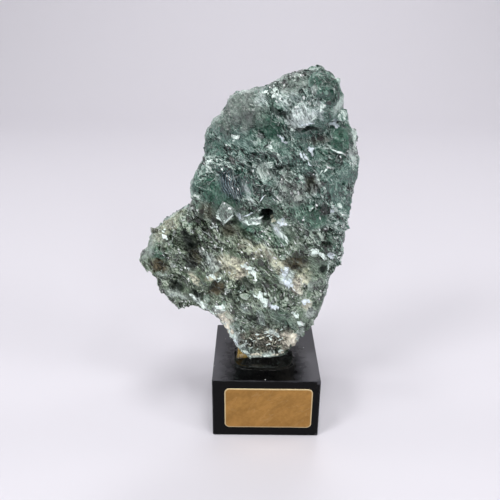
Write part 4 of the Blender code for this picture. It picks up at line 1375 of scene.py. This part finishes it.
class MICA_OT_landmark_books(bpy.types.Operator):
    """Sets the single books of mica that stand out on the stone's front."""

    bl_idname = "mica.landmark_books"
    bl_label = "Landmark books"

    def execute(self, context):
        ground = bpy.data.objects["stone_ground"].data
        tree = surface_tree(ground)
        draw = np.random.default_rng(31)
        parts = bmesh.new()
        number_layer = parts.verts.layers.int.new("flake_number")
        kinds, tones = [], []
        places = LANDMARK_BOOKS + foot_needles(draw, NEEDLES)
        for x, height, length, width, slope, nod, turn, mineral in places:
            # A big plate or a needle is single. The others are clusters of slivers.
            angle = math.radians(slope)
            plate, strand = length >= PLATE_LENGTH, width < STRAND_WIDTH
            leaf = LEAF_WIDTHS[0] <= width < LEAF_WIDTHS[1]
            depth = PLATE_DEPTH if plate else BOOK_DEPTH
            for sliver in range(1 if plate or width < NEEDLE_WIDTH else 4 if strand else 7):
                whole = sliver == 0
                along, across = draw.uniform(-0.42, 0.42, 2) * (length, width) * (not whole)
                sliver_x = x + along * math.cos(angle) - across * math.sin(angle)
                sliver_height = height + along * math.sin(angle) + across * math.cos(angle)
                start = Vector((sliver_x * MM, -60 * MM, BLOCK_TOP + sliver_height * MM))
                place = tree.ray_cast(start, Vector((0, 1, 0)))[0]
                if place is None:
                    continue
                stands = LEAF_STANDS if leaf and whole else BOOK_STANDS
                place.y -= 0.4 * MM * (length - 7.5) if plate else stands
                size = 0.9 if whole else draw.uniform(0.5, 0.8) if strand else draw.uniform(0.3, 0.6)
                lean = draw.normal(0, 2 if whole else 4 if strand else 10, 3)
                mesh = flake_mesh("sliver", 4 if whole or strand else 5, 2, 300 + len(kinds))
                wide = 1.1 * size * width * MM / (2 * FLAKE_HALF[1])
                scale = (size * length * MM, wide, depth, 1)
                shape = (
                    Matrix.Translation(place)
                    @ Matrix.Rotation(math.radians(turn + lean[0]), 4, "Z")
                    @ Matrix.Rotation(math.radians(90 - nod - lean[1]), 4, "X")
                    @ Matrix.Rotation(angle + math.radians(2 * lean[2]), 4, "Z")
                    @ Matrix.Diagonal(scale)
                )
                mesh.transform(shape)
                known = len(parts.verts)
                parts.from_mesh(mesh)
                parts.verts.ensure_lookup_table()
                for vert in parts.verts[known:]:
                    vert[number_layer] = len(kinds)
                kinds.append(mineral)
                tone_range = (0.5, 0.65) if mineral == "grey" else (0.85 if whole else 0.35, 1.0)
                tones.append(draw.uniform(*tone_range))
                bpy.data.meshes.remove(mesh)
        mesh = finished_mesh(parts, "landmark_books")
        flake = read(mesh.attributes["flake_number"].data, "value", 1, np.int32)
        store(mesh, "tone", np.array(tones)[flake])
        store(mesh, "flake", np.full(len(flake), 0.72))
        for mineral in MINERALS:
            strength = BOOK_MINERALS.get(mineral, 0.0)
            share = np.array([strength if kind == mineral else 0.0 for kind in kinds])
            store(mesh, mineral, share[flake])
        give_each_flake_its_map(mesh, flake, len(kinds))
        mesh.attributes.remove(mesh.attributes["flake_number"])
        books = new_object("landmark_books", mesh, ground.materials[0])
        ride_as(books, "green_mica")
        return {"FINISHED"}


# ---- the glue, the label and the block ----

# The glue's mesh, the bead round its rim and the film that it runs out to.
GLUE_RINGS, GLUE_SIDES = 40, 160
GLUE_BEAD, GLUE_FILM = 0.2 * MM, 0.1 * MM
# A lump of glue before the foot's left end: its middle, its half sizes and its height.
LUMP_X, LUMP_Y = -9.0 * MM, -2.4 * MM
LUMP_HALF_X, LUMP_HALF_Y = 2.2 * MM, 3.2 * MM
LUMP_RISE = 2.7 * MM

# The label's round corners, its cut rim, its thickness, its wavy lie, and how far it stands off the
# block in its middle and drops at its edge.
LABEL_CORNER, LABEL_RIM = 1.8 * MM, 0.45 * MM
LABEL_THICKNESS, LABEL_WAVE = 0.18 * MM, 0.05 * MM
LABEL_STANDS, LABEL_DROPS = 0.2 * MM, 0.12 * MM


class MICA_OT_glue(bpy.types.Operator):
    """Makes the set glue: a low skirt round the stone's foot that thins out over the paint."""

    bl_idname = "mica.glue"
    bl_label = "Glue"

    def execute(self, context):
        holder = context.scene.mica_holder
        middle = (GLUE_LOW + GLUE_HIGH) / 2
        half = (GLUE_HIGH - GLUE_LOW) / 2
        rise = GLUE_HIGH.z - BLOCK_TOP + GLUE_FILM
        bm = bmesh.new()
        grid = []
        for ring in range(GLUE_RINGS + 1):
            share = ring / GLUE_RINGS
            row = []
            for side in range(GLUE_SIDES):
                angle = 2 * math.pi * side / GLUE_SIDES
                outward = Vector((math.cos(angle), math.sin(angle), 0))
                wander = 1 + 0.06 * noise.noise(2 * outward + Vector((0, 0, 5)))
                wander += 0.04 * noise.noise(6 * outward + Vector((0, 0, 9)))
                # The pool is nearly square, and runs out furthest towards the front.
                front = 1.60 if outward.y < 0 else 1.15
                square = (abs(outward.x) / 1.12) ** 4 + (abs(outward.y) / front) ** 4
                pool = wander / square**0.25
                reach = 0.6 + (pool - 0.6) * share
                fall = 0.5 * (1 + math.cos(math.pi * min(1.0, share / 0.6)))
                bead = math.exp(-(((share - 0.84) / 0.08) ** 2))
                height = rise * fall + GLUE_BEAD * bead + GLUE_FILM * (1 - share)
                x = middle.x + outward.x * half.x * reach
                y = middle.y + outward.y * half.y * reach
                lump = max(abs(x - LUMP_X) / LUMP_HALF_X, abs(y - LUMP_Y) / LUMP_HALF_Y)
                height = max(height, LUMP_RISE * min(1.0, max(0.0, (1.0 - lump) / 0.25)))
                row.append(bm.verts.new((x, y, BLOCK_TOP + height)))
            grid.append(row)
        for inner, outer in zip(grid, grid[1:]):
            for n in range(GLUE_SIDES):
                m = (n + 1) % GLUE_SIDES
                bm.faces.new((inner[n], outer[n], outer[m], inner[m]))
        bm.faces.new(grid[0])
        bm.faces.new(grid[-1][::-1])
        bmesh.ops.recalc_face_normals(bm, faces=bm.faces)
        mesh = finished_mesh(bm, "glue_skirt")
        mesh.shade_smooth()
        # Ochre glue stands thick under the left of the foot, and elsewhere the paint shows through.
        points = points_of(mesh)
        height = points[:, 2] - BLOCK_TOP + 0.35 * MM * noise_at(points, 500)
        amber = smooth_step(0.25 * MM, 0.6 * MM, height)
        amber *= smooth_step(-6.2 * MM, -5.2 * MM, points[:, 1])
        amber *= 1 - smooth_step(-6.0 * MM, -2.0 * MM, points[:, 0])
        amber *= points[:, 0] > -11.4 * MM
        store(mesh, "thick", amber)
        glue = new_object("glue_skirt", mesh, glue_material(holder))
        ride_as(glue, "set_glue", "glue_pad")
        return {"FINISHED"}


class MICA_OT_label(bpy.types.Operator):
    """Makes the bare foil label, with round corners, a paler cut rim and a slightly wavy lie."""

    bl_idname = "mica.label"
    bl_label = "Label"

    def execute(self, context):
        holder = context.scene.mica_holder
        width = LABEL_HIGH.x - LABEL_LOW.x
        height = LABEL_HIGH.z - LABEL_LOW.z
        middle = (LABEL_LOW + LABEL_HIGH) / 2
        bm = bmesh.new()
        bmesh.ops.create_grid(bm, x_segments=130, y_segments=70, size=0.5)
        inner_x, inner_z = width / 2 - LABEL_CORNER, height / 2 - LABEL_CORNER
        for vert in bm.verts:
            x, z = vert.co.x * width, vert.co.y * height
            over_x, over_z = max(abs(x) - inner_x, 0), max(abs(z) - inner_z, 0)
            reach = math.hypot(over_x, over_z)
            square = max(over_x, over_z)
            if over_x and over_z:
                x = math.copysign(inner_x + over_x * square / reach, x)
                z = math.copysign(inner_z + over_z * square / reach, z)
            vert.co = (middle.x + x, 0, middle.z + z)
        mesh = finished_mesh(bm, "label_sheet")
        points = points_of(mesh)
        x, z = np.abs(points[:, 0] - middle.x), np.abs(points[:, 2] - middle.z)
        over = np.hypot(np.maximum(x - inner_x, 0), np.maximum(z - inner_z, 0))
        inside = np.minimum(LABEL_CORNER - over, np.minimum(width / 2 - x, height / 2 - z))
        wave = LABEL_WAVE * noise_at(points, 180, 3.0)
        edge_drop = LABEL_DROPS * (1 - smooth_step(0.0, 0.5 * MM, inside))
        points[:, 1] = BLOCK_LOW.y - LABEL_STANDS + wave + edge_drop
        mesh.vertices.foreach_set("co", points.astype(np.float32).ravel())
        store(mesh, "rim", 1 - smooth_step(0.2 * MM, LABEL_RIM, inside))
        mesh.flip_normals()
        mesh.update()
        label = new_object("label_sheet", mesh, foil_material(holder))
        thickness = label.modifiers.new("paper", "SOLIDIFY")
        thickness.thickness = LABEL_THICKNESS
        thickness.offset = -1
        settle(label)
        label.data.shade_smooth()
        ride_as(label, "gold_foil", "foil_label")
        return {"FINISHED"}


class MICA_OT_block(bpy.types.Operator):
    """Paints the display block."""

    bl_idname = "mica.block"
    bl_label = "Display block"

    def execute(self, context):
        block = frame["nodes"]["display_block"]
        block.data.materials.clear()
        block.data.materials.append(paint_material(context.scene.mica_holder))
        return {"FINISHED"}


# ---- the stage ----

# The camera looks at the specimen from in front and a little above.
CAMERA_PLACE = (-6.48 * MM, -201.47 * MM, 155.84 * MM)
CAMERA_DOWN = 0.4096
CAMERA_ROLL = 0.0097
CAMERA_LENS_MM = 43.13
ROOM_STRENGTH = 0.35

# Soft boxes: x, y and z in metres, width in metres and power in watts. Each faces the stone.
SOFT_BOXES = [
    (-0.60, -0.55, 0.80, 0.26, 6.0),  # the key, at the upper left
    (0.75, -0.40, 0.60, 0.22, 3.0),
    (0.05, -0.25, 1.05, 0.30, 5.0),
    (0.10, 0.70, 0.85, 0.35, 4.0),
    (-0.85, 0.15, 0.40, 0.22, 2.2),
    (0.85, 0.20, 0.45, 0.22, 2.2),
    (0.35, -0.85, 0.55, 0.16, 2.0),  # smaller ones that make single flakes glint
    (-0.20, -0.90, 0.80, 0.16, 2.0),
    (-0.85, -0.50, 0.30, 0.14, 1.5),
    (0.45, -0.50, 0.95, 0.14, 1.5),
    (-0.35, -0.20, 1.00, 0.14, 1.5),
    (0.00, -0.95, 0.30, 0.14, 1.2),
]


class MICA_OT_stage(bpy.types.Operator):
    """Sets the pale floor and backdrop, the soft boxes and the camera."""

    bl_idname = "mica.stage"
    bl_label = "Stage"

    def execute(self, context):
        settings = context.scene.mica_stage
        self.add_floor(floor_material(settings))
        target = Vector((0, 0, 0.08))
        for n, (x, y, z, size, power) in enumerate(SOFT_BOXES):
            lamp = bpy.data.lights.new(f"soft box {n}", "AREA")
            lamp.shape = "SQUARE"
            lamp.size = size
            lamp.energy = power * settings.brightness
            box = bpy.data.objects.new(lamp.name, lamp)
            box.location = (x, y, z)
            box.rotation_euler = (target - box.location).to_track_quat("-Z", "Y").to_euler()
            context.scene.collection.objects.link(box)
        world = bpy.data.worlds.new("pale room")
        world.use_nodes = True
        background = world.node_tree.nodes["Background"]
        background.inputs["Color"].default_value = settings.room
        background.inputs["Strength"].default_value = ROOM_STRENGTH * settings.brightness
        context.scene.world = world
        self.add_camera(context.scene)
        context.scene.view_settings.view_transform = "Standard"
        return {"FINISHED"}

    @staticmethod
    def add_floor(material):
        """A floor that curves up into a backdrop far behind the block."""
        bend, reach, back = 0.35, 1.6, 0.9
        profile = [(-reach, 0.0), (back - bend, 0.0)]
        for step in range(1, 17):
            angle = math.radians(90 * step / 16)
            profile.append((back - bend + bend * math.sin(angle), bend - bend * math.cos(angle)))
        profile.append((back, 1.8))
        bm = bmesh.new()
        rows = [[bm.verts.new((x, y, z)) for x in (-2.2, 2.2)] for y, z in profile]
        for (a, b), (c, d) in zip(rows, rows[1:]):
            bm.faces.new((a, b, d, c))
        mesh = finished_mesh(bm, "floor")
        mesh.shade_smooth()
        new_object("floor", mesh, material)

    @staticmethod
    def add_camera(scene):
        lens = bpy.data.cameras.new("camera")
        lens.sensor_width = 36.0
        lens.lens = CAMERA_LENS_MM
        lens.clip_start = 0.01
        camera = bpy.data.objects.new("camera", lens)
        tilt = Matrix.Rotation(math.pi / 2 - CAMERA_DOWN, 4, "X")
        roll = Matrix.Rotation(CAMERA_ROLL, 4, "Z")
        camera.matrix_world = Matrix.Translation(CAMERA_PLACE) @ tilt @ roll
        scene.collection.objects.link(camera)
        scene.camera = camera


class MICA_PT_panel(bpy.types.Panel):
    """Lists the steps that dress the specimen."""

    bl_label = "Mica Specimen"
    bl_idname = "MICA_PT_panel"
    bl_space_type = "VIEW_3D"
    bl_region_type = "UI"
    bl_category = "Mica"

    def draw(self, context):
        for step in STEPS:
            self.layout.operator(step.bl_idname)


SETTINGS = {"mica_stone": StoneSettings, "mica_holder": HolderSettings, "mica_stage": StageSettings}
STEPS = (
    MICA_OT_stone_ground,
    MICA_OT_flakes,
    MICA_OT_landmark_books,
    MICA_OT_glue,
    MICA_OT_label,
    MICA_OT_block,
    MICA_OT_stage,
)


def register():
    for kind in (*SETTINGS.values(), *STEPS, MICA_PT_panel):
        bpy.utils.register_class(kind)
    for name, kind in SETTINGS.items():
        setattr(bpy.types.Scene, name, bpy.props.PointerProperty(type=kind))


def unregister():
    for name in SETTINGS:
        delattr(bpy.types.Scene, name)
    for kind in reversed((*SETTINGS.values(), *STEPS, MICA_PT_panel)):
        bpy.utils.unregister_class(kind)


def main():
    register()
    bpy.ops.mica.stone_ground()
    bpy.ops.mica.flakes()
    bpy.ops.mica.landmark_books()
    bpy.ops.mica.glue()
    bpy.ops.mica.label()
    bpy.ops.mica.block()
    bpy.ops.mica.stage()


if __name__ == "__main__":
    main()
